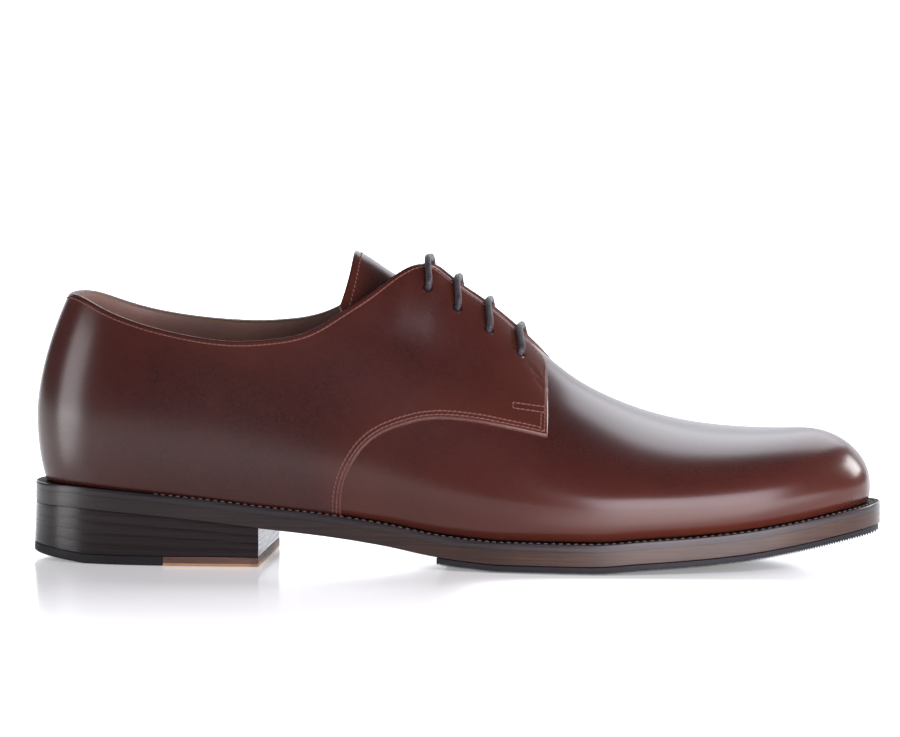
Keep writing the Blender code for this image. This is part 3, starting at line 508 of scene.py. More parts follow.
def rib_point(turn, share):
    """Points on the ribs at 0 to 1 of the curves' own parameter."""
    foot, top, way, reach = rib_frame(turn)
    low = foot[..., 2]
    high = top[..., 2]
    out = BALL_WIDTH * bulge(turn)
    middle = low + widest(turn) * (high - low)
    below = np.clip(share / RIB_WAIST, 0, 1)
    above = np.clip((share - RIB_WAIST) / (1 - RIB_WAIST), 0, 1)
    far = reach + out
    rise = middle - low
    r_low = bezier(below, reach, reach + FOOT_OUT * out, far, far)
    z_low = bezier(below, low, low + FOOT_UP * rise, middle - WIDEST_UP * rise, middle)
    r_high = bezier(above, far, far, top_fullness(turn) * far, 0 * far)
    z_high = bezier(above, middle, middle + side_fullness(turn) * (high - middle), high, high)
    r = np.where(share < RIB_WAIST, r_low, r_high)
    z = np.where(share < RIB_WAIST, z_low, z_high)
    return np.stack([top[..., 0] + way[..., 0] * r, top[..., 1] + way[..., 1] * r, z], -1)


def rib_arc(turn):
    """Length along the ribs up to each of their samples."""
    points = rib_point(np.asarray(turn, float)[..., None], np.linspace(0, 1, ARC_SAMPLES))
    steps = np.linalg.norm(np.diff(points, axis=-2), axis=-1)
    return np.concatenate([np.zeros(steps.shape[:-1] + (1,)), np.cumsum(steps, -1)], -1)


def rib_length(turn):
    return rib_arc(turn)[..., -1]


def last_point(turn, climb):
    """Points on the last; the climb is a share of the rib's own length."""
    turn, climb = np.broadcast_arrays(np.asarray(turn, float), np.asarray(climb, float))
    arc = rib_arc(turn)
    goal = np.clip(climb, 0, 1) * arc[..., -1]
    i = np.clip((arc < goal[..., None]).sum(-1) - 1, 0, ARC_SAMPLES - 2)
    start = np.take_along_axis(arc, i[..., None], -1)[..., 0]
    end = np.take_along_axis(arc, i[..., None] + 1, -1)[..., 0]
    return rib_point(turn, (i + (goal - start) / (end - start)) / (ARC_SAMPLES - 1))


def climb_from_ridge(turn, way):
    """The climb this far down from the ridge."""
    return 1 - way / rib_length(turn)


def last_normal(turn, climb):
    """Outward normals of the last."""
    turn, climb = np.broadcast_arrays(np.asarray(turn, float), np.asarray(climb, float))
    step = 1e-3
    beside = np.minimum(climb, 1 - step)
    across = last_point(turn + step, beside) - last_point(turn - step, beside)
    up = last_point(turn, np.minimum(climb + step, 1)) - last_point(turn, np.maximum(climb - step, 0))
    return unit(np.cross(across, up))


def off_last(turn, climb, distance):
    """Points at a distance from the last; at the feather line the way out is level, along the seat."""
    turn, climb = np.broadcast_arrays(np.asarray(turn, float), np.asarray(climb, float))
    point = last_point(turn, climb)
    level = 1 - smooth(climb / LEVEL_CLIMB)
    normal = last_normal(turn, climb)
    normal[..., 2] *= 1 - level
    moved = point + unit(normal) * np.asarray(distance, float)[..., None]
    moved[..., 2] += level * (GAP + seat(moved[..., 0]) - seat(point[..., 0]))
    return moved


def quarter_inner(turn, climb):
    """Distance of the quarters' inner face from the last; the facings stand off over the tongue."""
    way = (1 - climb) * rib_length(turn)
    across = 1 - smooth((way - LIFT_WHOLE * BALL_WIDTH) / (LIFT_FADE * BALL_WIDTH))
    return QUARTER_BASE + FACING_LIFT * stand_off(share_at(turn)) * across


def quarter_outer(turn, climb):
    return quarter_inner(turn, climb) + QUARTER_WALL


def tongue_outer(turn, climb):
    """The tongue dips under the facings and comes back to the last at its top."""
    share = share_at(turn)
    dip = smooth((THROAT - share) / DIP_AT_THROAT) * smooth((share - TONGUE_TOP) / DIP_AT_TOP)
    return -1.2 * GAP - TONGUE_DIP * dip


def place(share, height, side):
    """Turns and climbs of points of the quarter's face, from their share of length and height."""
    low_turn = np.zeros(len(share))
    high_turn = np.full(len(share), math.pi)
    for _ in range(16):
        turn = (low_turn + high_turn) / 2
        low = np.zeros(len(share))
        high = np.ones(len(share))
        for _ in range(13):
            climb = (low + high) / 2
            here = real(turn, side)
            at = off_last(here, climb, quarter_outer(here, climb))
            under = at[:, 2] < height
            low = np.where(under, climb, low)
            high = np.where(under, high, climb)
        behind = at[:, 0] < x_of(share)
        low_turn = np.where(behind, turn, low_turn)
        high_turn = np.where(behind, high_turn, turn)
    return np.stack([turn, climb], 1)


# ---------------------------------------------------------------- outlines of the bottom
def plan(extra, count=721):
    """The feather line moved out by a distance that is a function of the turn."""
    turn = np.linspace(0, FULL_TURN, count)
    step = 1e-4
    ahead = unit(rib_frame(turn + step)[0][:, :2] - rib_frame(turn - step)[0][:, :2])
    outward = np.stack([ahead[:, 1], -ahead[:, 0]], 1)
    return rib_frame(turn)[0][:, :2] + outward * np.asarray(extra(turn))[..., None]


def stations(x0, x1, start, end, count):
    """X positions of a plate's stations, closer together at a round end."""
    k = np.linspace(0, 1, count)
    if start is None and end is None:
        x = x0 + (x1 - x0) * (1 - np.cos(math.pi * k)) / 2
    elif start is None:
        x = x0 + (end - x0) * (1 - np.cos(math.pi / 2 * k))
    elif end is None:
        x = start + (x1 - start) * np.sin(math.pi / 2 * k)
    else:
        x = start + (end - start) * k
    for fixed in (x_of(TREAD_START), x_of(TREAD_END)):
        if x[1] < fixed < x[-2]:
            x[np.argmin(abs(x - fixed))] = fixed
    return x


def loop(extra, start=None, end=None, count=PLATE_STATIONS):
    """Pairs of points across an outline: (stations, side, xy)."""
    line = plan(extra)[:-1]
    line = np.roll(line, -int(np.argmin(line[:, 0])), axis=0)
    toe = int(np.argmax(line[:, 0]))
    x = stations(line[0, 0], line[toe, 0], start, end, count)
    halves = (line[: toe + 1], np.concatenate([line[toe:], line[:1]])[::-1])
    return np.stack([np.stack([x, np.interp(x, half[:, 0], half[:, 1])], 1) for half in halves], 1)


def sole_outline(turn):
    return BALL_WIDTH * sole_edge(turn)


def out_from_sole(amount):
    return lambda turn: sole_outline(turn) + amount


def out_from_feather(amount):
    return lambda turn: 0 * turn + amount


def over_seat(amount):
    return lambda x: seat(x) + amount


def heel_floor(x):
    """The heel's underside: flat, with its rear end worn up a little."""
    return HEEL_BEVEL * np.clip((x_of(0) + HEEL_BEVEL_START - x) / HEEL_BEVEL_LENGTH, 0, 1)


# ---------------------------------------------------------------- placing the model in the frame
outline = loop(sole_outline, count=2 * PLATE_STATIONS).reshape(-1, 2)
low_corner, high_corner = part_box("outsole")
middle = (np.array(low_corner) + np.array(high_corner)) / 2
SHIFT = np.append(middle[:2] - (outline.min(0) + outline.max(0)) / 2, 0.0)


# ---------------------------------------------------------------- mesh building
def add(name, data):
    made = bpy.data.objects.new(name, data)
    bpy.context.scene.collection.objects.link(made)
    return made


def piece(name, points, faces, materials, replaced=(), parts=None, layers=None, sharp=0):
    """A mesh object in the frame, riding on the shoe's one body; parts tells each face's material."""
    mesh = bpy.data.meshes.new(name)
    places = np.asarray(points, float) + SHIFT
    mesh.from_pydata(places.tolist(), [], faces if isinstance(faces, list) else faces.tolist())
    for material in materials:
        mesh.materials.append(material)
    if parts is not None:
        mesh.polygons.foreach_set("material_index", np.asarray(parts, np.int32))
    for layer, values in (layers or {}).items():
        attribute = mesh.attributes.new(layer, "FLOAT", "POINT")
        attribute.data.foreach_set("value", np.asarray(values, np.float32).ravel())
    mesh.update()
    form = bmesh.new()
    form.from_mesh(mesh)
    bmesh.ops.remove_doubles(form, verts=form.verts, dist=1e-6)
    bmesh.ops.recalc_face_normals(form, faces=form.faces)
    form.to_mesh(mesh)
    form.free()
    mesh.shade_smooth()
    if sharp:
        mesh.set_sharp_from_angle(angle=math.radians(sharp))
    shape = add(name, mesh)
    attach(shape, "root")
    if replaced:
        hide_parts(*replaced)
    return shape


def piece_of(groups, name, materials):
    points, faces, parts = joined(groups)
    return piece(name, points, faces, materials, (), parts)


def grid_faces(rows, columns, start=0):
    i = np.arange(rows - 1)[:, None]
    j = np.arange(columns - 1)[None, :]
    a = (start + i * columns + j).ravel()
    return np.stack([a, a + 1, a + columns + 1, a + columns], 1)


def tube_faces(rings, around):
    """Faces between closed rings that follow one another."""
    i = np.arange(rings - 1)[:, None] * around
    j = np.arange(around)
    k = (j + 1) % around
    return np.stack([i + j, i + k, i + around + k, i + around + j], -1).reshape(-1, 4)


def joined(groups):
    """Several (points, faces, parts) as one."""
    points, faces, parts = zip(*groups)
    starts = np.cumsum([0] + [len(some) for some in points[:-1]])
    faces = [some + start for some, start in zip(faces, starts)]
    return np.concatenate(points), np.concatenate(faces), np.concatenate(parts)


def rim_index(rows, columns):
    grid = np.arange(rows * columns).reshape(rows, columns)
    return np.concatenate([grid[0], grid[1:, -1], grid[-1, -2::-1], grid[-2:0:-1, 0]])


def rim_outward(outer, rim):
    """Unit vectors out of a grid's edge, in its surface, in the order of its rim."""
    out = np.zeros_like(outer)
    out[0] += outer[0] - outer[1]
    out[-1] += outer[-1] - outer[-2]
    out[:, 0] += outer[:, 0] - outer[:, 1]
    out[:, -1] += outer[:, -1] - outer[:, -2]
    flat = out.reshape(-1, 3)[rim]
    return flat / np.maximum(np.linalg.norm(flat, axis=1), 1e-12)[:, None]


def two_faces(outer, inner):
    """Points, faces and parts (0 outer, 1 inner) of a wall's two sides, without its rim."""
    rows, columns = outer.shape[:2]
    face = grid_faces(rows, columns)
    back = grid_faces(rows, columns, rows * columns)[:, ::-1]
    parts = [np.zeros(len(face), int), np.ones(len(back), int)]
    return [outer.reshape(-1, 3), inner.reshape(-1, 3)], [face, back], parts


def shell(outer, inner, bulge, segments=5):
    """Points, faces, part of each face (0 outer, 1 inner, 2 rim) of a wall with a rounded edge."""
    points, faces, parts = two_faces(outer, inner)
    rim = rim_index(*outer.shape[:2])
    away = rim_outward(outer, rim)
    count = len(points[0])
    rings = [rim]
    for k in range(1, segments):
        t = k / segments
        ring = points[0][rim] * (1 - t) + points[1][rim] * t
        points.append(ring + away * bulge * math.sin(math.pi * t))
        rings.append(2 * count + (k - 1) * len(rim) + np.arange(len(rim)))
    rings.append(rim + count)
    for a, b in zip(rings, rings[1:]):
        faces.append(np.stack([np.roll(a, -1), a, b, np.roll(b, -1)], 1))
        parts.append(np.full(len(a), 2))
    return np.concatenate(points), np.concatenate(faces), np.concatenate(parts)


def plate_mesh(levels):
    """Points, faces and parts of a stack of loops, each with its height as a function of X, bottom first."""
    points = []
    for pairs, height in levels:
        line = np.concatenate([pairs[:, 0], pairs[::-1, 1]])
        points.append(np.column_stack([line, height(line[:, 0]) + 0 * line[:, 0]]))
    around = len(points[0])
    faces = [tube_faces(len(levels), around)]
    parts = [np.repeat(np.arange(len(levels) - 1), around)]
    i = np.arange(around // 2 - 1)
    for start, part in ((0, -1), ((len(levels) - 1) * around, -2)):
        ring = start + np.arange(around)
        quad = np.stack([ring[i], ring[i + 1], ring[-2 - i], ring[-1 - i]], 1)
        faces.append(quad[:, ::-1] if start == 0 else quad)
        parts.append(np.full(len(quad), part))
    return np.concatenate(points), np.concatenate(faces), np.concatenate(parts)


# ---------------------------------------------------------------- lines on the leather
def line_points(path, distance, rise=0.0):
    turn = path[:, 0]
    climb = np.clip(path[:, 1], 0, 1)
    return off_last(turn, climb, distance(turn, climb) + rise)


def line_normals(path, limit=0.999):
    return last_normal(path[:, 0], np.clip(path[:, 1], 0, limit))


def inset(path, way, distance):
    """The (turn, climb) path moved sideways over the leather, to the left of its own direction."""
    points = line_points(path, distance)
    sideways = unit(np.cross(line_normals(path), unit(np.gradient(points, axis=0))))
    step = 1e-3
    by_turn = line_points(path + [step, 0], distance) - line_points(path - [step, 0], distance)
    by_turn /= 2 * step
    by_climb = (line_points(path + [0, -step], distance) - points) / -step
    moved = path.copy()
    for i in range(len(path)):
        basis = np.stack([by_turn[i], by_climb[i]], 1)
        moved[i] += np.linalg.lstsq(basis, sideways[i] * way, rcond=None)[0]
    return moved


def cut_back(path, distance, start, end):
    """The path without its first and last lengths, again at even steps."""
    length = along(line_points(path, distance))
    goal = np.linspace(start, length[-1] - end, max(8, int(length[-1] / (0.6 * MM))))
    return at_lengths(goal, length, path)


def stitches(points, normals, pitch, length, radius, slant=0.0, flat=0.75):
    """One small rounded stitch after another along a line; the ends of each sink into the leather."""
    arc = along(points)
    number = max(1, int(arc[-1] / pitch))
    centres = (np.arange(number) + 0.5) * arc[-1] / number
    at = at_lengths(centres, arc, points)
    ahead = at_lengths(centres + pitch / 3, arc, points) - at_lengths(centres - pitch / 3, arc, points)
    normal = unit(at_lengths(centres, arc, normals))
    tangent = unit(ahead)
    turned = tangent * math.cos(slant) + unit(np.cross(normal, tangent)) * math.sin(slant)
    side = np.cross(normal, turned)
    angle = np.linspace(0, FULL_TURN, STITCH_SIDES, endpoint=False)
    rings = []
    for reach, width in STITCH_SHAPE:
        centre = at + turned * reach * length - normal * 0.9 * radius * (2 * abs(reach)) ** 3
        across = side[:, None] * (np.cos(angle) * radius * width)[:, None]
        up = normal[:, None] * (np.sin(angle) * radius * width * flat)[:, None]
        rings.append(centre[:, None] + across + up)
    one = tube_faces(len(STITCH_SHAPE), STITCH_SIDES)
    starts = np.arange(number)[:, None, None] * len(STITCH_SHAPE) * STITCH_SIDES
    faces = (one + starts).reshape(-1, 4)
    return np.stack(rings, 1).reshape(-1, 3), faces, np.zeros(len(faces), int)


def stitch_line(path, distance, slant=0.22):
    points = line_points(path, distance, STITCH_RISE)
    length = STITCH_LENGTH * STITCH_PITCH
    return stitches(points, line_normals(path), STITCH_PITCH, length, STITCH_RADIUS, slant)


def ribbon(path, distance, width):
    """A narrow strip under a row of stitches: the leather of its channel, coloured as painted shade of the
    thread.
    """
    points = line_points(path, distance, RIBBON_RISE)
    normals = line_normals(path)
    side = unit(np.cross(normals, np.gradient(points, axis=0)))
    across = []
    for share, sink in ((-1.0, -1.0), (-0.55, 0.0), (0.55, 0.0), (1.0, -1.0)):
        across.append(points + side * share * width / 2 + normals * sink * 3 * RIBBON_RISE)
    faces = grid_faces(len(across), len(path))
    return np.concatenate(across), faces, np.ones(len(faces), int)


# ---------------------------------------------------------------- procedural materials
def srgb(r, g, b):
    """Linear colour from a display colour in 0 to 255."""
    shares = [value / 255 for value in (r, g, b)]
    return (*(v / 12.92 if v <= 0.04045 else ((v + 0.055) / 1.055) ** 2.4 for v in shares), 1.0)


class Finish:
    """A node material under construction."""

    def __init__(self, name):
        self.material = bpy.data.materials.new(name)
        self.material.use_nodes = True
        self.tree = self.material.node_tree
        self.shader = self.tree.nodes["Principled BSDF"]
        self.where = self.node("ShaderNodeTexCoord", {}).outputs["Object"]

    def feed(self, node, inputs):
        """Gives a node's inputs their numbers, colours or links."""
        for key, value in inputs.items():
            if isinstance(value, bpy.types.NodeSocket):
                self.tree.links.new(value, node.inputs[key])
            else:
                node.inputs[key].default_value = value

    def node(self, kind, inputs, **values):
        made = self.tree.nodes.new(kind)
        for key, value in values.items():
            setattr(made, key, value)
        self.feed(made, inputs)
        return made

    def axes(self):
        """X, Y and Z in the shoe's own frame."""
        return self.node("ShaderNodeSeparateXYZ", {0: self.where}).outputs

    def stretched(self, *scale):
        return self.node("ShaderNodeMapping", {"Scale": scale, "Vector": self.where}).outputs["Vector"]

    def noise(self, scale, detail=3.0, rough=0.5, vector=None):
        inputs = {"Scale": scale, "Detail": detail, "Roughness": rough, "Vector": vector or self.where}
        return self.node("ShaderNodeTexNoise", inputs).outputs["Fac"]

    def cells(self, scale):
        return self.node("ShaderNodeTexVoronoi", {"Scale": scale, "Vector": self.where}).outputs["Distance"]

    def layer(self, name):
        return self.node("ShaderNodeAttribute", {}, attribute_name=name).outputs["Fac"]

    def range(self, source, low, high, to_low=0.0, to_high=1.0):
        inputs = {"Value": source, "From Min": low, "From Max": high, "To Min": to_low, "To Max": to_high}
        return self.node("ShaderNodeMapRange", inputs, interpolation_type="SMOOTHSTEP").outputs["Result"]

    def mix(self, factor, first, second):
        return self.node("ShaderNodeMix", {0: factor, 6: first, 7: second}, data_type="RGBA").outputs[2]

    def math(self, operation, first, second):
        return self.node("ShaderNodeMath", {0: first, 1: second}, operation=operation).outputs[0]

    def times(self, first, second):
        return self.math("MULTIPLY", first, second)

    def plus(self, first, second):
        return self.math("ADD", first, second)

    def dress(self, colour, roughness, *bumps, **values):
        """Colour, roughness, bumps one on another as (height, strength, distance), and other inputs."""
        inputs = {key.replace("_", " "): value for key, value in values.items()}
        inputs.update({"Base Color": colour, "Roughness": roughness})
        normal = {}
        for height, strength, distance in bumps:
            relief = {"Height": height, "Strength": strength, "Distance": distance, **normal}
            normal = {"Normal": self.node("ShaderNodeBump", relief).outputs["Normal"]}
        self.feed(self.shader, {**inputs, **normal})
        return self.material


def calf(name):
    """Burnished smooth calf: dark in the field, redder and lighter towards edges from burnish, and towards
    the welt from burnish plus painted light of the bright floor.
    """
    made = Finish(name)
    clouds = made.noise(26.0, 3.0, 0.55)
    mottle = made.noise(150.0, 4.0, 0.6)
    grain = made.noise(900.0, 2.0, 0.6)
    field = made.mix(made.range(clouds, 0.36, 0.66), srgb(33, 12, 12), srgb(41, 15, 15))
    field = made.mix(made.range(mottle, 0.3, 0.75, 0.0, 0.40), field, srgb(50, 21, 18))
    field = made.mix(made.range(grain, 0.35, 0.70, 0.0, 0.35), field, srgb(54, 26, 25))
    # Redder and lighter where the layer is high: real burnish at edges, toe and heel, painted floor light
    # above the welt
    burnish_and_light = made.times(made.layer("burnish_and_painted_light"), made.range(clouds, 0.2, 0.7, 0.75, 1.0))
    return made.dress(
        made.mix(burnish_and_light, field, srgb(66, 30, 22)),
        made.range(mottle, 0.25, 0.8, 0.36, 0.48),
        (made.cells(1500.0), 0.22, 0.00008),
        (made.noise(2600.0, 2.0), 0.07, 0.00005),
        (made.noise(70.0, 2.0), 0.02, 0.0003),
        Coat_Weight=0.8, Coat_Roughness=0.25, Coat_IOR=1.5, Specular_IOR_Level=0.0,
    )


def lining_leather(name, first, second):
    made = Finish(name)
    fine = made.noise(420.0, 4.0, 0.65)
    base = made.mix(made.range(made.noise(40.0, 3.0), 0.3, 0.7), first, second)
    return made.dress(
        made.mix(made.range(fine, 0.45, 0.8, 0.0, 0.35), base, srgb(104, 82, 58)),
        made.range(fine, 0.2, 0.8, 0.5, 0.68),
        (made.cells(900.0), 0.25, 0.00012),
        (fine, 0.15, 0.0001),
        Sheen_Weight=0.15, Sheen_Roughness=0.5,
    )


def cut_edge(name, first, second):
    """Pared leather edge, lighter than the face."""
    made = Finish(name)
    streak = made.noise(900.0, 3.0, 0.6)
    colour = made.mix(made.range(streak, 0.3, 0.7), first, second)
    return made.dress(colour, made.range(streak, 0.3, 0.7, 0.45, 0.6), (streak, 0.3, 0.0001))


def thread(name, first, second):
    made = Finish(name)
    inputs = {"Scale": 900.0, "Distortion": 1.5, "Vector": made.where}
    wave = made.node("ShaderNodeTexWave", inputs, wave_type="BANDS", bands_direction="DIAGONAL")
    twist = wave.outputs["Fac"]
    colour = made.mix(made.noise(700.0, 3.0), first, second)
    return made.dress(
        colour, made.range(twist, 0.0, 1.0, 0.5, 0.65), (twist, 0.5, 0.00006), Specular_IOR_Level=0.15
    )


def channel_and_shade(name):
    """Leather under a row of stitches: its channel, coloured as painted shade of the thread and groove."""
    made = Finish(name)
    wear = made.noise(300.0, 3.0)
    # Painted shade: the strip's colour stands in for the shadow of the thread and its groove
    colour = made.mix(made.range(wear, 0.3, 0.7), srgb(58, 21, 17), srgb(80, 31, 23))
    rough = made.range(wear, 0.3, 0.7, 0.42, 0.55)
    return made.dress(colour, rough, (made.noise(1800.0, 2.0), 0.2, 0.00008))


def sole_edge_finish(name, fore, fore_streak, heel, heel_streak, rough=0.36, coat=0.2, gloss=0.25):
    """Trimmed and waxed leather edge: fine level streaks, near black at the heel, browner forward."""
    made = Finish(name)
    streak = made.noise(1.0, 4.0, 0.6, made.stretched(26.0, 26.0, 1300.0))
    front = made.mix(made.range(streak, 0.32, 0.68), fore, fore_streak)
    rear = made.mix(made.range(streak, 0.35, 0.75), heel, heel_streak)
    both = made.mix(made.range(made.axes()[0], -0.062, 0.030), rear, front)
    return made.dress(
        made.mix(made.range(made.noise(60.0, 3.0), 0.35, 0.8, 0.0, 0.4), both, heel),
        made.range(streak, 0.3, 0.7, rough - 0.05, rough + 0.08),
        (streak, 0.06, 0.00010),
        (made.noise(1500.0, 2.0), 0.08, 0.00006),
        Coat_Weight=coat, Coat_Roughness=0.22, Specular_IOR_Level=gloss,
    )


def rubber(name, first, second):
    made = Finish(name)
    fine = made.noise(1300.0, 3.0)
    colour = made.mix(made.noise(45.0, 3.0), first, second)
    return made.dress(
        colour, made.range(fine, 0.3, 0.7, 0.5, 0.66), (fine, 0.22, 0.00010), Specular_IOR_Level=0.2
    )


def raw_leather(name):
    """Uncoloured sole leather, darkened by wax and bare along its lowest edge."""
    made = Finish(name)
    streak = made.noise(1.0, 4.0, 0.65, made.stretched(60.0, 60.0, 1500.0))
    base = made.mix(made.range(streak, 0.3, 0.7), srgb(64, 40, 33), srgb(86, 57, 44))
    base = made.mix(made.range(made.axes()[2], 0.0007, 0.0011, 0.8, 0.0), base, srgb(168, 126, 84))
    return made.dress(
        made.mix(made.range(made.noise(110.0, 4.0, 0.6), 0.5, 0.8, 0.0, 0.75), base, srgb(44, 28, 24)),
        made.range(streak, 0.3, 0.7, 0.5, 0.65),
        (streak, 0.3, 0.0002),
        (made.noise(1500.0, 2.0), 0.2, 0.0001),
    )


def cord_finish(name):
    """Waxed braid."""
    made = Finish(name)
    turn = made.layer("around")
    run = made.times(made.layer("run"), BRAID)
    braid = made.math("SINE", made.plus(run, turn), 0.0)
    counter = made.math("SINE", made.math("SUBTRACT", run, turn), 0.0)
    wax = made.noise(500.0, 3.0)
    return made.dress(
        made.mix(made.range(wax, 0.3, 0.7), srgb(24, 20, 24), srgb(52, 44, 50)),
        made.range(wax, 0.3, 0.7, 0.42, 0.58),
        (made.times(braid, counter), 0.7, 0.00012),
        Specular_IOR_Level=0.3, Sheen_Weight=0.08, Sheen_Roughness=0.4,
    )


CALF = calf("polished_calf")
LINING = lining_leather("calf_lining", srgb(112, 88, 58), srgb(92, 70, 46))
SOCK = lining_leather("sock_leather", srgb(150, 112, 72), srgb(126, 92, 58))
COLLAR_LEATHER = lining_leather("collar_lining", srgb(104, 74, 68), srgb(122, 90, 80))
CUT = cut_edge("pared_edge", srgb(92, 56, 48), srgb(66, 36, 30))
DARK_CUT = cut_edge("dyed_edge", srgb(62, 34, 30), srgb(44, 26, 24))
THREAD = thread("quarter_thread", srgb(108, 71, 63), srgb(82, 52, 46))
WELT_THREAD = thread("welt_thread", srgb(88, 82, 82), srgb(60, 54, 56))
STITCH_SHADE = channel_and_shade("stitch_channel_and_shade")
WELT = sole_edge_finish(
    "welt_leather", srgb(40, 34, 36), srgb(54, 46, 47), srgb(28, 23, 25), srgb(38, 31, 32)
)
WELT_TOP = sole_edge_finish(
    "welt_top", srgb(24, 18, 18), srgb(34, 27, 26), srgb(20, 16, 16), srgb(28, 22, 22), 0.55, 0.0, 0.03
)
SOLE = sole_edge_finish("sole_edge", srgb(46, 31, 26), srgb(64, 44, 35), srgb(27, 20, 20), srgb(40, 28, 26))
SOLE_FACE = sole_edge_finish(
    "sole_face", srgb(96, 66, 46), srgb(120, 84, 58), srgb(60, 40, 30), srgb(84, 56, 40), 0.45, 0.1
)
HEEL = sole_edge_finish(
    "heel_lifts", srgb(28, 20, 22), srgb(36, 27, 28), srgb(24, 17, 19), srgb(34, 24, 25), 0.26, 0.32, 0.1
)
RUBBER = rubber("half_sole_rubber", srgb(24, 23, 27), srgb(34, 33, 37))
HEEL_RUBBER = rubber("heel_rubber", srgb(20, 19, 22), srgb(30, 28, 31))
NATURAL = raw_leather("natural_leather")
CORD = cord_finish("waxed_lace")


# ---------------------------------------------------------------- the upper
def find_lines():
    """(turn, climb) of the points of the tables that give a share of length and a height."""
    bar = [(share, height * MM / COLLAR_HEIGHT) for share, height in BAR_STITCH]
    tables = {"back": [(0.0, 1.0)], "top": TOPLINE, "seam": SEAM, "edge": FRONT_EDGE, "bar": bar}
    rows = [row[:2] for table in tables.values() for row in table]
    at = place(np.array(column(rows, 0)), COLLAR_HEIGHT * np.array(column(rows, 1)), LATERAL)
    found = {}
    for name, table in tables.items():
        found[name], at = at[: len(table)], at[len(table) :]
    heights = COLLAR_HEIGHT * np.array(column(TOPLINE, 2))
    found["medial_top"] = place(np.array(column(TOPLINE, 0)), heights, MEDIAL)
    return found


LINES = find_lines()


def edge_paths(side):
    """The (turn, climb) lines of one quarter: topline and facing, seam, front edge."""
    top = [(0.0, float(LINES["back"][0, 1]))]
    top += [tuple(point) for point in LINES["top" if side < 0 else "medial_top"]]
    turns = turn_of(column(FACING, 0))
    top += list(zip(turns, climb_from_ridge(real(turns, side), BALL_WIDTH * np.array(column(FACING, 1)))))
    seam = [(float(turn_of(SEAM_FOOT)), 0.0)] + [tuple(point) for point in LINES["seam"]]
    edge = [seam[-1]] + [tuple(point) for point in LINES["edge"]] + [top[-1]]
    return {"top": top, "seam": seam, "edge": edge}


def mirrored(path, side):
    """Turns on the side itself from turns counted on the lateral side."""
    path = np.array(path)
    path[..., 0] = real(path[..., 0], side)
    return path


def quarter_grid(side):
    """Turns and climbs over one quarter, between its topline with the facing, its seam and its edge."""
    lines = edge_paths(side)
    rows, columns = QUARTER_ROWS, QUARTER_COLUMNS
    corner = round(QUARTER_CORNER * columns)
    feather = np.stack([np.linspace(0, lines["seam"][0][0], corner), np.zeros(corner)], 1)
    bottom = np.concatenate([feather, even(lines["seam"], columns - corner + 1)[1:]])
    top = even(lines["top"], columns)
    edge = even(lines["edge"], rows)
    a = np.linspace(0, 1, columns)
    b = np.linspace(0, 1, rows)[:, None]
    grid = np.empty((rows, columns, 2))
    for k in range(2):
        rear = (1 - a) * b * top[0, k]
        corners = rear + a * (1 - b) * bottom[-1, k] + a * b * top[-1, k]
        grid[..., k] = (1 - b) * bottom[:, k] + b * top[:, k] + rear + a * edge[:, k : k + 1] - corners
    return mirrored(grid, side)


def distance_to_line(points, line):
    """The way from each point to the nearest point of a line."""
    best = np.full(len(points), 1.0)
    for start in range(0, len(line), 40):
        part = line[start : start + 40]
        best = np.minimum(best, np.linalg.norm(points[:, None] - part[None], axis=-1).min(1))
    return best


def crease_depth(points, side):
    """How far the leather sinks in the few soft creases beside the lowest eyelet."""
    sink = np.zeros(len(points))
    for share, way, angle, length, width, depth in SOFT_CREASES:
        turn = real(float(turn_of(share)), side)
        climb = float(climb_from_ridge(np.array(turn), way * MM))
        down = unit(last_point(turn, climb - 0.02) - last_point(turn, climb))
        forward = unit(np.array([1.0, 0.0, 0.0]) - down * down[0])
        cosine, sine = math.cos(math.radians(angle)), math.sin(math.radians(angle))
        offset = points - off_last(turn, climb, 3 * MM)
        u = offset @ (forward * cosine + down * sine) / (length * MM / 2)
        v = offset @ (down * cosine - forward * sine) / (width * MM / 2)
        sink += depth * MM * np.exp(-(u**2) * 1.2) * np.exp(-(v**2))
    return sink


def quarter_burnish_and_light(points, side):
    """How burnished each point is along the lines, at the throat and the heel, plus painted light of the
    floor just above the welt.
    """
    burnish_and_painted_light = np.zeros(len(points))
    for name, path in edge_paths(side).items():
        reach, strength = QUARTER_WARMTH[name]
        line = line_points(mirrored(even(path, 160), side), quarter_outer)
        burnish_and_painted_light = np.maximum(burnish_and_painted_light, strength * np.exp(-distance_to_line(points, line) / (reach * MM)))
    low = points[:, 2] - seat(points[:, 0])
    share = share_of(points[:, 0])
    # Painted light: lighter and redder just above the welt, standing in for the bright floor's reflection
    burnish_and_painted_light = np.maximum(burnish_and_painted_light, 0.45 * np.exp(-np.maximum(low, 0) / (14 * MM)))
    burnish_and_painted_light += 0.30 * smooth((share - 0.44) / 0.16) + 0.30 * smooth((0.16 - share) / 0.16)
    return np.clip(burnish_and_painted_light, 0, 1)


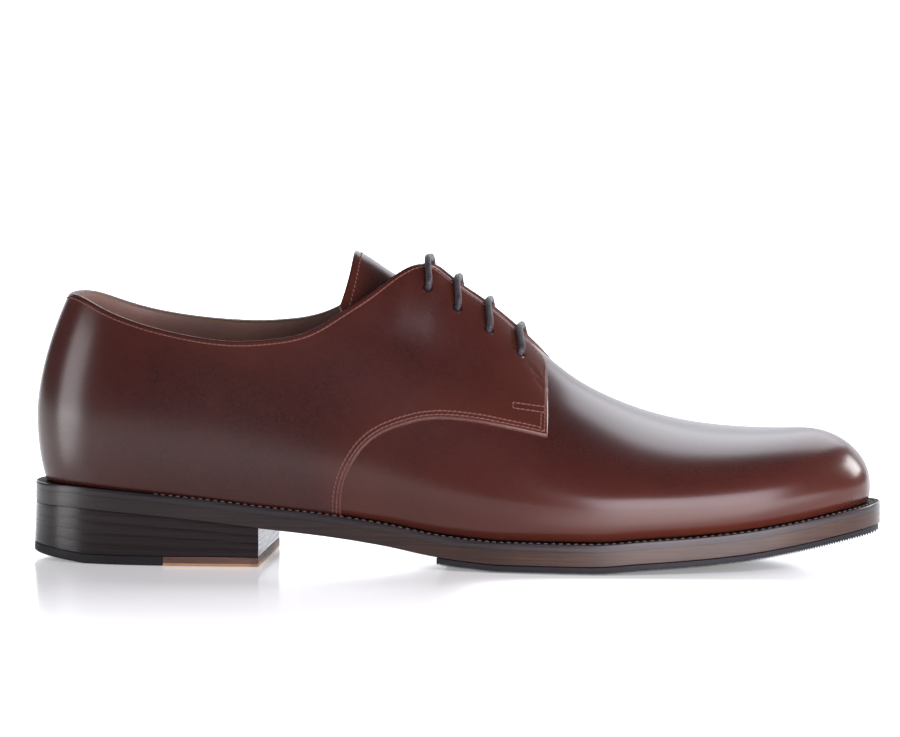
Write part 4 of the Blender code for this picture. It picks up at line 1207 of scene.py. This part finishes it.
def make_quarter_pieces():
    for side, word in zip(BOTH_SIDES, ("lateral", "medial")):
        grid = quarter_grid(side)
        turn, climb = grid[..., 0], grid[..., 1]
        outer = off_last(turn, climb, quarter_outer(turn, climb))
        inner = off_last(turn, climb, quarter_inner(turn, climb))
        sink = crease_depth(outer.reshape(-1, 3), side).reshape(turn.shape)
        # A faint groove where the two quarters meet at the back
        from_back = np.abs(outer - outer[:, :1])[..., :2].sum(-1)
        sink += BACK_GROOVE_DEPTH * np.exp(-((from_back / BACK_GROOVE_WIDTH) ** 2))
        outer = outer - last_normal(turn, np.clip(climb, 0, 0.999)) * sink[..., None]
        points, faces, parts = shell(outer[:, ::-side], inner[:, ::-side], EDGE_ROUND)
        layers = {"burnish_and_painted_light": quarter_burnish_and_light(points, side)}
        finishes = [CALF, LINING, CUT]
        shape = piece("quarter_" + word, points, faces, finishes, ("upper",), parts, layers)
        bore_eyelets(shape, side)


def vamp_grid(side):
    """Turns and climbs of one side's vamp, from its hidden rear edge to the toe."""
    edge = even([(float(turn_of(share)), climb) for share, climb in VAMP_EDGE], 200)
    climbs = np.linspace(0, 1, VAMP_ROWS)
    start = np.interp(climbs, edge[:, 1], edge[:, 0])[:, None]
    grid = np.empty((VAMP_ROWS, VAMP_COLUMNS, 2))
    grid[..., 0] = start + np.linspace(0, 1, VAMP_COLUMNS) * (math.pi - start)
    grid[..., 1] = climbs[:, None]
    return mirrored(grid, side)


def vamp_points(side, distance):
    """One side of a layer of the vamp; both sides share the points of the ridge and of the toe."""

    def layer(grid):
        return off_last(grid[..., 0], grid[..., 1], distance)

    def foot(grid):
        return VAMP_FOOT_RISE * (1 - smooth(grid[..., 1] / VAMP_FOOT_CLIMB))

    grid, lateral = vamp_grid(side), vamp_grid(LATERAL)
    points = layer(grid)
    points[..., 2] += foot(grid)
    points[-1] = layer(lateral[-1])
    points[:, -1] = layer(lateral[:, -1])
    points[:, -1, 2] += foot(lateral[:, -1])
    return points


def make_vamp_piece():
    groups = []
    burnish_and_light_rows = []
    for side in BOTH_SIDES:
        grid = vamp_grid(side)[:, ::-side]
        outer, inner = (vamp_points(side, distance)[:, ::-side] for distance in (VAMP_WALL, 0.0))
        rows, columns = outer.shape[:2]
        count = rows * columns
        points, faces, parts = two_faces(outer, inner)
        # The rim runs along the feather line and the rear edge
        rear = 0 if side < 0 else columns - 1
        rim = [(j, j + 1) for j in range(columns - 1)]
        rim += [(rear + i * columns, rear + (i + 1) * columns) for i in range(rows - 1)]
        faces.append(np.array([(a, b, b + count, a + count) for a, b in rim]))
        parts.append(np.full(len(rim), 2))
        groups.append((np.concatenate(points), np.concatenate(faces), np.concatenate(parts)))
        climb = grid[..., 1]
        # Lighter and redder low on the vamp: painted light of the bright floor over burnish; the toe tip's
        # lift is burnish
        burnish_and_painted_light = 0.95 * np.exp(-climb / 0.16) + 0.45 * smooth((share_at(grid[..., 0]) - 0.90) / 0.10)
        burnish_and_painted_light += 0.22 * smooth((0.80 - climb) / 0.5)
        burnish_and_light_rows += 2 * [np.clip(burnish_and_painted_light, 0, 1).ravel()]
    points, faces, parts = joined(groups)
    layers = {"burnish_and_painted_light": np.concatenate(burnish_and_light_rows)}
    piece("vamp", points, faces, [CALF, LINING, DARK_CUT], ("upper",), parts, layers)


def eyelet(share, way, side):
    """Turn and climb of an eyelet."""
    turn = real(float(turn_of(share)), side)
    return turn, float(climb_from_ridge(np.array(turn), way * BALL_WIDTH))


def bore_eyelets(shape, side):
    """Punches the eyelets through a quarter, then keeps the result as the piece's own mesh."""
    form = bmesh.new()
    for share, way in EYELETS:
        turn, climb = eyelet(share, way, side)
        centre = off_last(turn, climb, quarter_outer(turn, climb) - QUARTER_WALL / 2) + SHIFT
        turned = Vector(last_normal(turn, climb)).to_track_quat("Z", "Y").to_matrix().to_4x4()
        bmesh.ops.create_cone(
            form, cap_ends=True, segments=28, radius1=EYELET_RADIUS * 0.86, radius2=EYELET_RADIUS,
            depth=3 * QUARTER_WALL, matrix=Matrix.Translation(centre) @ turned,
        )
    mesh = bpy.data.meshes.new("drills")
    form.to_mesh(mesh)
    form.free()
    mesh.materials.append(DARK_CUT)
    drills = add("drills", mesh)
    cut = shape.modifiers.new("eyelets", "BOOLEAN")
    cut.operation = "DIFFERENCE"
    cut.solver = "EXACT"
    cut.object = drills
    cut.material_mode = "TRANSFER"
    bpy.context.view_layer.update()
    graph = bpy.context.evaluated_depsgraph_get()
    bored = bpy.data.meshes.new_from_object(shape.evaluated_get(graph))
    shape.modifiers.clear()
    shape.data = bored
    bpy.data.objects.remove(drills)


def make_stitches():
    groups = []
    for side in BOTH_SIDES:
        lines = edge_paths(side)

        def distance(turn, climb, side=side):
            return quarter_outer(real(turn, side), climb)

        def row(path, start, end, slant):
            path = mirrored(cut_back(path, distance, start * MM, end * MM), side)
            groups.append(ribbon(path, quarter_outer, RIBBON_WIDTH))
            groups.append(stitch_line(path, quarter_outer, -side * slant))

        for name, count, way, start, end, slant in STITCH_ROWS:
            path = inset(even(lines[name], count), way * MM, distance)
            if end is None:
                end = along(line_points(path, distance))[-1] / MM - SHORT_ROW
            row(path, start, end, slant)
        # The bar's corners stay sharp
        bar = LINES["bar"]
        steps = np.linspace(0, 1, 12, endpoint=False)[:, None]
        sides = [a * (1 - steps) + b * steps for a, b in zip(bar, bar[1:])]
        row(np.concatenate(sides + [bar[-1:]]), 0.2, 0.2, 0.15)
    piece_of(groups, "quarter_stitching", [THREAD, STITCH_SHADE])


# ---------------------------------------------------------------- tongue and inside
def tongue_grid():
    """Turns and climbs of the tongue, from its root to its top, from side to side."""
    a = np.linspace(0, 1, TONGUE_ROWS)[:, None]
    g = np.linspace(-1, 1, TONGUE_COLUMNS)[None, :]
    half = TONGUE_ROOT_HALF + (TONGUE_TOP_HALF - TONGUE_ROOT_HALF) * smooth(a)
    half = half * np.sqrt(1 - (np.maximum(0.0, a - 0.9) / 0.1) ** 2 * 0.35)
    x = x_of(TONGUE_ROOT) + a * (x_of(TONGUE_TOP) - TONGUE_LEAN * g * g - x_of(TONGUE_ROOT))
    turn = turn_of(share_of(x))
    turn = np.where(g < 0, turn, FULL_TURN - turn)
    return np.stack([turn, climb_from_ridge(turn, np.abs(g) * half)], -1)


def make_tongue_pieces():
    grid = tongue_grid()
    turn, climb = grid[..., 0], grid[..., 1]
    outer = off_last(turn, climb, tongue_outer(turn, climb))
    inner = off_last(turn, climb, tongue_outer(turn, climb) - TONGUE_WALL)
    points, faces, parts = shell(outer, inner, TONGUE_EDGE_ROUND)
    burnish_and_painted_light = np.zeros(len(points))
    up = np.repeat(np.linspace(0, 1, TONGUE_ROWS), TONGUE_COLUMNS)
    burnish_and_painted_light[: len(up)] = 0.25 + 0.5 * smooth((up - 0.9) / 0.1)
    finishes = [CALF, LINING, DARK_CUT]
    piece("tongue_leather", points, faces, finishes, ("tongue",), parts, {"burnish_and_painted_light": burnish_and_painted_light})
    # A row round the top, three columns in; its middle crosses the ridge, so it is laid by points
    groups = []
    for path in (grid[30:67, 3], grid[66:29:-1, -4]):
        path = cut_back(path, tongue_outer, 0, 0)
        groups.append(ribbon(path, tongue_outer, TONGUE_RIBBON_WIDTH))
        groups.append(stitch_line(path, tongue_outer))
    across = grid[67, 3:-3]
    line = line_points(across, tongue_outer, STITCH_RISE)
    length = STITCH_LENGTH * STITCH_PITCH
    groups.append(stitches(line, line_normals(across, 0.995), STITCH_PITCH, length, STITCH_RADIUS, 0.2))
    piece_of(groups, "tongue_stitching", [THREAD, STITCH_SHADE])


def make_collar_band():
    """The dark strip of lining just under the topline, and its row of stitches."""
    bands = []
    rows = []
    for side in BOTH_SIDES:
        path = even(edge_paths(side)["top"], TOPLINE_SAMPLES)
        path = mirrored(path[path[:, 0] < float(turn_of(COLLAR_BAND_END))][::2], side)

        def below(way, lift, path=path):
            climb = path[:, 1] - way * MM / rib_length(path[:, 0])
            return climb, off_last(path[:, 0], climb, quarter_inner(path[:, 0], climb) - lift * MM)

        faces = grid_faces(len(COLLAR_BAND), len(path))
        points = np.concatenate([below(*row)[1] for row in COLLAR_BAND])
        bands.append((points, faces, np.zeros(len(faces), int)))
        climb, line = below(*COLLAR_STITCH)
        inward = -last_normal(path[:, 0], np.clip(climb, 0, 0.995))
        rows.append(stitches(line, inward, STITCH_PITCH, 0.8 * STITCH_PITCH, STITCH_RADIUS, 0.15))
    piece_of(bands, "collar_band", [COLLAR_LEATHER])
    piece_of(rows, "collar_stitching", [THREAD])


def make_sock():
    """The board's leather cover that the foot stands on."""
    high = GAP + INSOLE_THICKNESS
    levels = []
    for inside, height in (
        (WELT_SEAT + GAP, -WELT_THICKNESS), (WELT_SEAT + GAP, GAP), (3 * GAP, GAP),
        (3 * GAP, high - 0.5 * MM), (4.5 * GAP, high - 0.1 * MM), (9 * GAP, high),
    ):
        levels.append((loop(out_from_feather(-inside), count=SOCK_STATIONS), over_seat(height)))
    points, faces, _ = plate_mesh(levels)
    piece("sock", points, faces, [SOCK], ("insole",), sharp=38)


# ---------------------------------------------------------------- under the foot
def make_welt_pieces():
    rings = []
    for extra, height in (
        (out_from_feather(-WELT_SEAT), -WELT_THICKNESS),
        (out_from_feather(-WELT_SEAT), -0.2 * MM),
        (out_from_feather(0.5 * MM), -0.06 * MM),
        (out_from_sole(-1.4 * MM), -0.10 * MM),
        (out_from_sole(-0.55 * MM), -0.12 * MM),
        (out_from_sole(-0.18 * MM), -0.22 * MM),
        (out_from_sole(-0.02 * MM), -0.5 * MM),
        (out_from_sole(0.0), -1.3 * MM),
        (out_from_sole(-0.03 * MM), -2.3 * MM),
        (out_from_sole(-0.04 * MM), -WELT_THICKNESS),
        (out_from_feather(-WELT_SEAT), -WELT_THICKNESS),
    ):
        pairs = loop(extra, count=WELT_STATIONS)
        line = np.concatenate([pairs[:, 0], pairs[-2:0:-1, 1]])
        rings.append(np.column_stack([line, seat(line[:, 0]) + height]))
    around = len(rings[0])
    faces = tube_faces(len(rings), around)
    parts = np.repeat([1 if ring < 4 else 0 for ring in range(len(rings) - 1)], around)
    piece("welt_strip", np.concatenate(rings), faces, [WELT, WELT_TOP], ("welt",), parts, sharp=38)
    line = plan(lambda turn: WELT_STITCH_OUT * sole_outline(turn), 1800)
    line = line[share_of(line[:, 0]) > WELT_STITCH_START]
    points = np.column_stack([line, seat(line[:, 0]) - 0.02 * MM])
    up = np.tile([0.0, 0.0, 1.0], (len(points), 1))
    row = stitches(points, up, WELT_STITCH_PITCH, WELT_STITCH_LENGTH, WELT_STITCH_RADIUS, 0.12, 0.8)
    piece_of([row], "welt_stitching", [WELT_THREAD])


def make_outsole():
    top = -WELT_THICKNESS - GAP
    low = top - OUTSOLE_THICKNESS
    levels = []
    for out, height in (
        (-0.18, low), (-0.04, low + 0.12 * MM), (0.0, low + 0.7 * MM), (0.0, top - 0.5 * MM),
        (-0.04, top + LAYER_OVERLAP),
    ):
        levels.append((loop(out_from_sole(out * MM), count=OUTSOLE_STATIONS), over_seat(height)))
    points, faces, parts = plate_mesh(levels)
    finishes = [SOLE, SOLE_FACE]
    underside = parts == -1
    piece("outsole_leather", points, faces, finishes, ("outsole",), underside, sharp=38)


def make_half_sole():
    """The half sole, with the fine ribs of its tread across the underside."""
    start = float(x_of(RUBBER_START))
    top = -WELT_THICKNESS - OUTSOLE_THICKNESS - 2 * GAP
    bottom = top - RUBBER_THICKNESS

    def ribbed(height):
        def value(x):
            tooth = np.abs(np.mod((x - start) / RIB_PITCH, 1.0) - 0.5) * 2
            return seat(x) + bottom + height + RIB_DEPTH * smooth((tooth - 0.35) / 0.3)

        return value

    levels = []
    for inside, height in (
        (0.30, ribbed(0.0)), (0.06, ribbed(0.14 * MM)), (0.0, ribbed(0.45 * MM)),
        (0.0, over_seat(bottom + 1.35 * MM)), (0.0, over_seat(top - 0.2 * MM)), (0.15, over_seat(top)),
    ):
        edge = out_from_sole(-RUBBER_INSET - inside * MM)
        levels.append((loop(edge, start=start, count=HALF_SOLE_STATIONS), height))
    points, faces, _ = plate_mesh(levels)
    piece("half_sole", points, faces, [RUBBER], ("forepart_rubber",), sharp=30)


def hollow_breast(points, breast):
    """The front face of the heel hollows a little across."""
    near = smooth((points[:, 0] - (breast - 2 * MM)) / (2 * MM))
    across = np.clip(1 - (points[:, 1] / (0.30 * BALL_WIDTH)) ** 2, 0, 1)
    points = points.copy()
    points[:, 0] -= HEEL_HOLLOW * near * across
    return points


def make_heel_pieces():
    breast = float(x_of(HEEL_BREAST))
    joint = float(x_of(TOP_PIECE_JOINT))
    top = -WELT_THICKNESS - OUTSOLE_THICKNESS - 2 * GAP + LAYER_OVERLAP
    bottom = TOP_PIECE_THICKNESS + GAP

    def height_at(share):
        return lambda x: (1 - share) * (heel_floor(x) + bottom) + share * (seat(x) + top)

    levels = []
    for lift in range(HEEL_LIFTS):
        for inside, groove in LIFT_EDGE:
            share = min((lift + inside) / HEEL_LIFTS, 1.0)
            edge = out_from_sole(0.8 * HEEL_FLARE * (1 - share) - groove * MM)
            levels.append((loop(edge, end=breast, count=HEEL_STATIONS), height_at(share)))
    points, faces, _ = plate_mesh(levels)
    piece("heel_block", hollow_breast(points, breast), faces, [HEEL], ("heel",), sharp=50)

    def top_piece(floor, low_x, high_x):
        levels = []
        for height, out in TOP_PIECE_EDGE:
            edge = out_from_sole(HEEL_FLARE * (1 - 0.15 * height / 3.2) + out * MM)
            pairs = loop(edge, start=low_x, end=high_x, count=TOP_PIECE_STATIONS)
            levels.append((pairs, lambda x, height=height: floor(x) + height * MM))
        return plate_mesh(levels)

    points, faces, _ = top_piece(heel_floor, None, joint)
    piece("heel_top_rubber", points, faces, [HEEL_RUBBER], ("heel_rubber",), sharp=40)
    points, faces, _ = top_piece(lambda x: 0.0 * x, joint + GAP, breast)
    points = hollow_breast(points, breast)
    piece("heel_top_leather", points, faces, [NATURAL], ("heel_leather",), sharp=40)


# ---------------------------------------------------------------- lace
def lace_bar(share, reach):
    """The middle line of one bar, from one eyelet over the facings to the other."""
    edge_way = FACING_FROM_RIDGE + LACE_AT_EYELET
    ways = reach - np.array([0.0, 0.0, 0.10, 0.50, 1.0]) * (reach - edge_way)
    above = [-LACE_IN_EYELET, LACE_AT_EYELET] + 3 * [LACE_OVER_FACING]
    halves = []
    for side in BOTH_SIDES:
        half = []
        for way, rise in zip(ways, above):
            turn = real(float(turn_of(share - LACE_LEAN / LAST_LENGTH * (1 - way / reach))), side)
            climb = climb_from_ridge(np.array(turn), way)
            half.append(off_last(turn, climb, quarter_outer(turn, climb) + rise))
        halves.append(half)
    middle = (halves[0][-1] + halves[1][-1]) / 2 + np.array([0, 0, LACE_CROWN])
    return halves[0] + [middle] + halves[1][::-1]


def under_facing(first, second, side):
    """Points of the hidden run between two eyelets of one side, between facing and tongue."""
    run = []
    for t in (0.12, 0.35, 0.65, 0.88):
        share, way = (a * (1 - t) + b * t for a, b in zip(EYELETS[first], EYELETS[second]))
        turn, climb = eyelet(share, way, side)
        run.append(off_last(turn, climb, quarter_inner(turn, climb) - LACE_UNDER_FACING))
    return run


def lace_route():
    """The lace from end to end: up and down through the eyelets, in straight bars outside."""
    bars = []
    for share, way in EYELETS:
        ends = []
        for side in BOTH_SIDES:
            turn, climb = eyelet(share, way, side)
            ends.append(off_last(turn, climb, quarter_inner(turn, climb) - 0.6 * MM))
        bars.append([ends[0]] + lace_bar(share, way * BALL_WIDTH) + [ends[1]])
    return np.array(
        under_facing(1, 0, LATERAL)[:3][::-1] + bars[1] + under_facing(1, 3, MEDIAL) + bars[3][::-1]
        + under_facing(3, 2, LATERAL) + bars[2] + under_facing(2, 0, MEDIAL) + bars[0][::-1]
    )


def make_lace_piece():
    route = lace_route()
    arc = along(route)
    fine = np.linspace(0, arc[-1], int(arc[-1] / LACE_STEP))
    line = np.stack([cubic(arc, route[:, k])(fine) for k in range(3)], 1)
    for _ in range(2):
        line[1:-1] = (line[:-2] + 2 * line[1:-1] + line[2:]) / 4
    tangent = unit(np.gradient(line, axis=0))
    guide = np.array([1.0, 0.0, 0.0])
    frames = []
    for direction in tangent:
        guide = unit(guide - direction * (guide @ direction))
        frames.append(guide)
    first = np.array(frames)
    second = np.cross(tangent, first)
    angle = np.linspace(0, FULL_TURN, LACE_SIDES, endpoint=False)
    ring = first[:, None] * np.cos(angle)[:, None] + second[:, None] * np.sin(angle)[:, None]
    turns = BRAID * fine[:, None]
    wave = 1 + BRAID_DEPTH * np.sin(turns + angle) * np.sin(turns - angle)
    points = line[:, None] + ring * (LACE_RADIUS * wave)[..., None]
    faces = tube_faces(len(line), LACE_SIDES).tolist()
    last = (len(line) - 1) * LACE_SIDES
    faces += [list(range(LACE_SIDES))[::-1], list(range(last, last + LACE_SIDES))]
    layers = {"around": np.tile(angle, len(line)), "run": np.repeat(fine, LACE_SIDES)}
    bars = ("lace_bar_1", "lace_bar_2", "lace_bar_3", "lace_bar_4")
    piece("lace", points.reshape(-1, 3), faces, [CORD], bars, None, layers)


# ---------------------------------------------------------------- studio
def make_floor():
    """A pale floor that glows as painted light: dim beside the shoe and lit up away from it so that it fades
    into the background, with painted pools of light before the forepart and left of the heel for the shoe's
    sides to reflect.
    """
    made = Finish("studio_floor")
    x, y = made.axes()[:2]
    away = made.math("SQRT", made.plus(made.math("POWER", x, 2.0), made.math("POWER", y, 2.0)), 0.0)
    # Painted glow of the floor, dim beside the shoe and bright far off
    glow = made.range(away, 0.16, 0.40, 0.26, 1.0)
    front = made.times(y, -1.0)
    # Painted pool of light on the floor in front of the forepart
    right = made.times(made.range(x, 0.0, 0.08, 0.0, 3.0), made.range(front, 0.055, 0.085))
    # Painted pool of light on the floor to the left of the heel
    wedge = made.math("SUBTRACT", made.times(made.plus(x, 0.13), -0.7), front)
    left = made.times(made.range(wedge, 0.0, 0.05, 0.0, 3.5), made.range(front, 0.0, 0.06))
    left = made.times(left, made.range(x, -0.22, -0.28))
    made.dress(
        made.mix(made.noise(3.0, 2.0), (0.90, 0.90, 0.91, 1), (0.93, 0.93, 0.94, 1)), 0.12,
        Specular_IOR_Level=0.12, Emission_Color=(1, 1, 1, 1),
        Emission_Strength=made.plus(glow, made.plus(right, left)),
    )
    steps = np.linspace(-FLOOR_HALF, FLOOR_HALF, FLOOR_CELLS + 1)
    grid = np.stack(np.meshgrid(steps, steps), -1).reshape(-1, 2)
    mesh = bpy.data.meshes.new("floor")
    faces = grid_faces(FLOOR_CELLS + 1, FLOOR_CELLS + 1).tolist()
    mesh.from_pydata([(x, y, -0.2 * MM) for x, y in grid.tolist()], [], faces)
    mesh.materials.append(made.material)
    add("floor", mesh)


def facing(eye, target):
    return (Vector(target) - Vector(eye)).to_track_quat("-Z", "Y").to_euler()


def softbox(name, eye, target, size, power, colour):
    data = bpy.data.lights.new(name, "AREA")
    data.shape = "RECTANGLE"
    data.size, data.size_y = size
    data.energy = power
    data.color = colour
    lamp = add(name, data)
    lamp.location = eye
    lamp.rotation_euler = facing(eye, target)
    lamp.visible_camera = False


def around_shoe(azimuth, elevation, distance, height=0.05):
    """A place seen from the shoe at this azimuth (0 towards the camera side, 90 towards the toe)."""
    a = math.radians(azimuth)
    e = math.radians(elevation)
    level = distance * math.cos(e)
    return level * math.sin(a), -level * math.cos(a), height + distance * math.sin(e)


def make_lights():
    world = bpy.data.worlds.new("studio")
    bpy.context.scene.world = world
    world.use_nodes = True
    back = world.node_tree.nodes["Background"]
    back.inputs["Color"].default_value = (0.92, 0.95, 1.0, 1)
    back.inputs["Strength"].default_value = 0.10
    shoe = (0.0, 0.0, 0.05)
    softbox("back_wall", around_shoe(180, 11, 2.1), shoe, (2.8, 1.1), 20, (0.90, 0.93, 1.0))
    softbox("top_back", around_shoe(180, 42, 1.8), shoe, (1.7, 1.03), 25, (0.93, 0.94, 1.0))
    softbox("front_right", (0.25, -0.33, 0.138), (0.13, 0.03, 0.10), (0.50, 0.245), 3.2, (0.98, 0.93, 1.0))
    softbox("heel_side", (-0.52, -0.14, 0.13), (-0.13, -0.01, 0.10), (0.20, 0.24), 0.80, (0.98, 0.95, 1.0))
    softbox("toe_side", around_shoe(122, 21, 1.2), (0.13, 0.0, 0.04), (0.42, 0.42), 7.6, (1.0, 1.0, 1.0))


def make_camera():
    data = bpy.data.cameras.new("camera")
    camera = add("camera", data)
    a = math.radians(CAMERA_TURN)
    target = Vector((0, 0, AIM_HEIGHT)) + Vector(SHIFT)
    eye = Vector((CAMERA_AWAY * math.sin(a), -CAMERA_AWAY * math.cos(a), CAMERA_HEIGHT)) + Vector(SHIFT)
    camera.location = eye
    camera.rotation_euler = facing(eye, target)
    data.sensor_fit = "HORIZONTAL"
    data.sensor_width = SENSOR
    data.lens = SENSOR * (target - eye).length / (MM_PER_PIXEL * MM * IMAGE_WIDTH)
    data.shift_x = -(AIM_PIXEL[0] - IMAGE_WIDTH / 2) / IMAGE_WIDTH
    data.shift_y = (AIM_PIXEL[1] - IMAGE_HEIGHT / 2) / IMAGE_WIDTH
    data.clip_end = 60.0
    bpy.context.scene.camera = camera


make_camera()
make_quarter_pieces()
make_vamp_piece()
make_stitches()
make_tongue_pieces()
make_collar_band()
make_welt_pieces()
make_outsole()
make_half_sole()
make_heel_pieces()
make_sock()
make_lace_piece()
make_floor()
make_lights()
bpy.context.scene.view_settings.view_transform = "Standard"
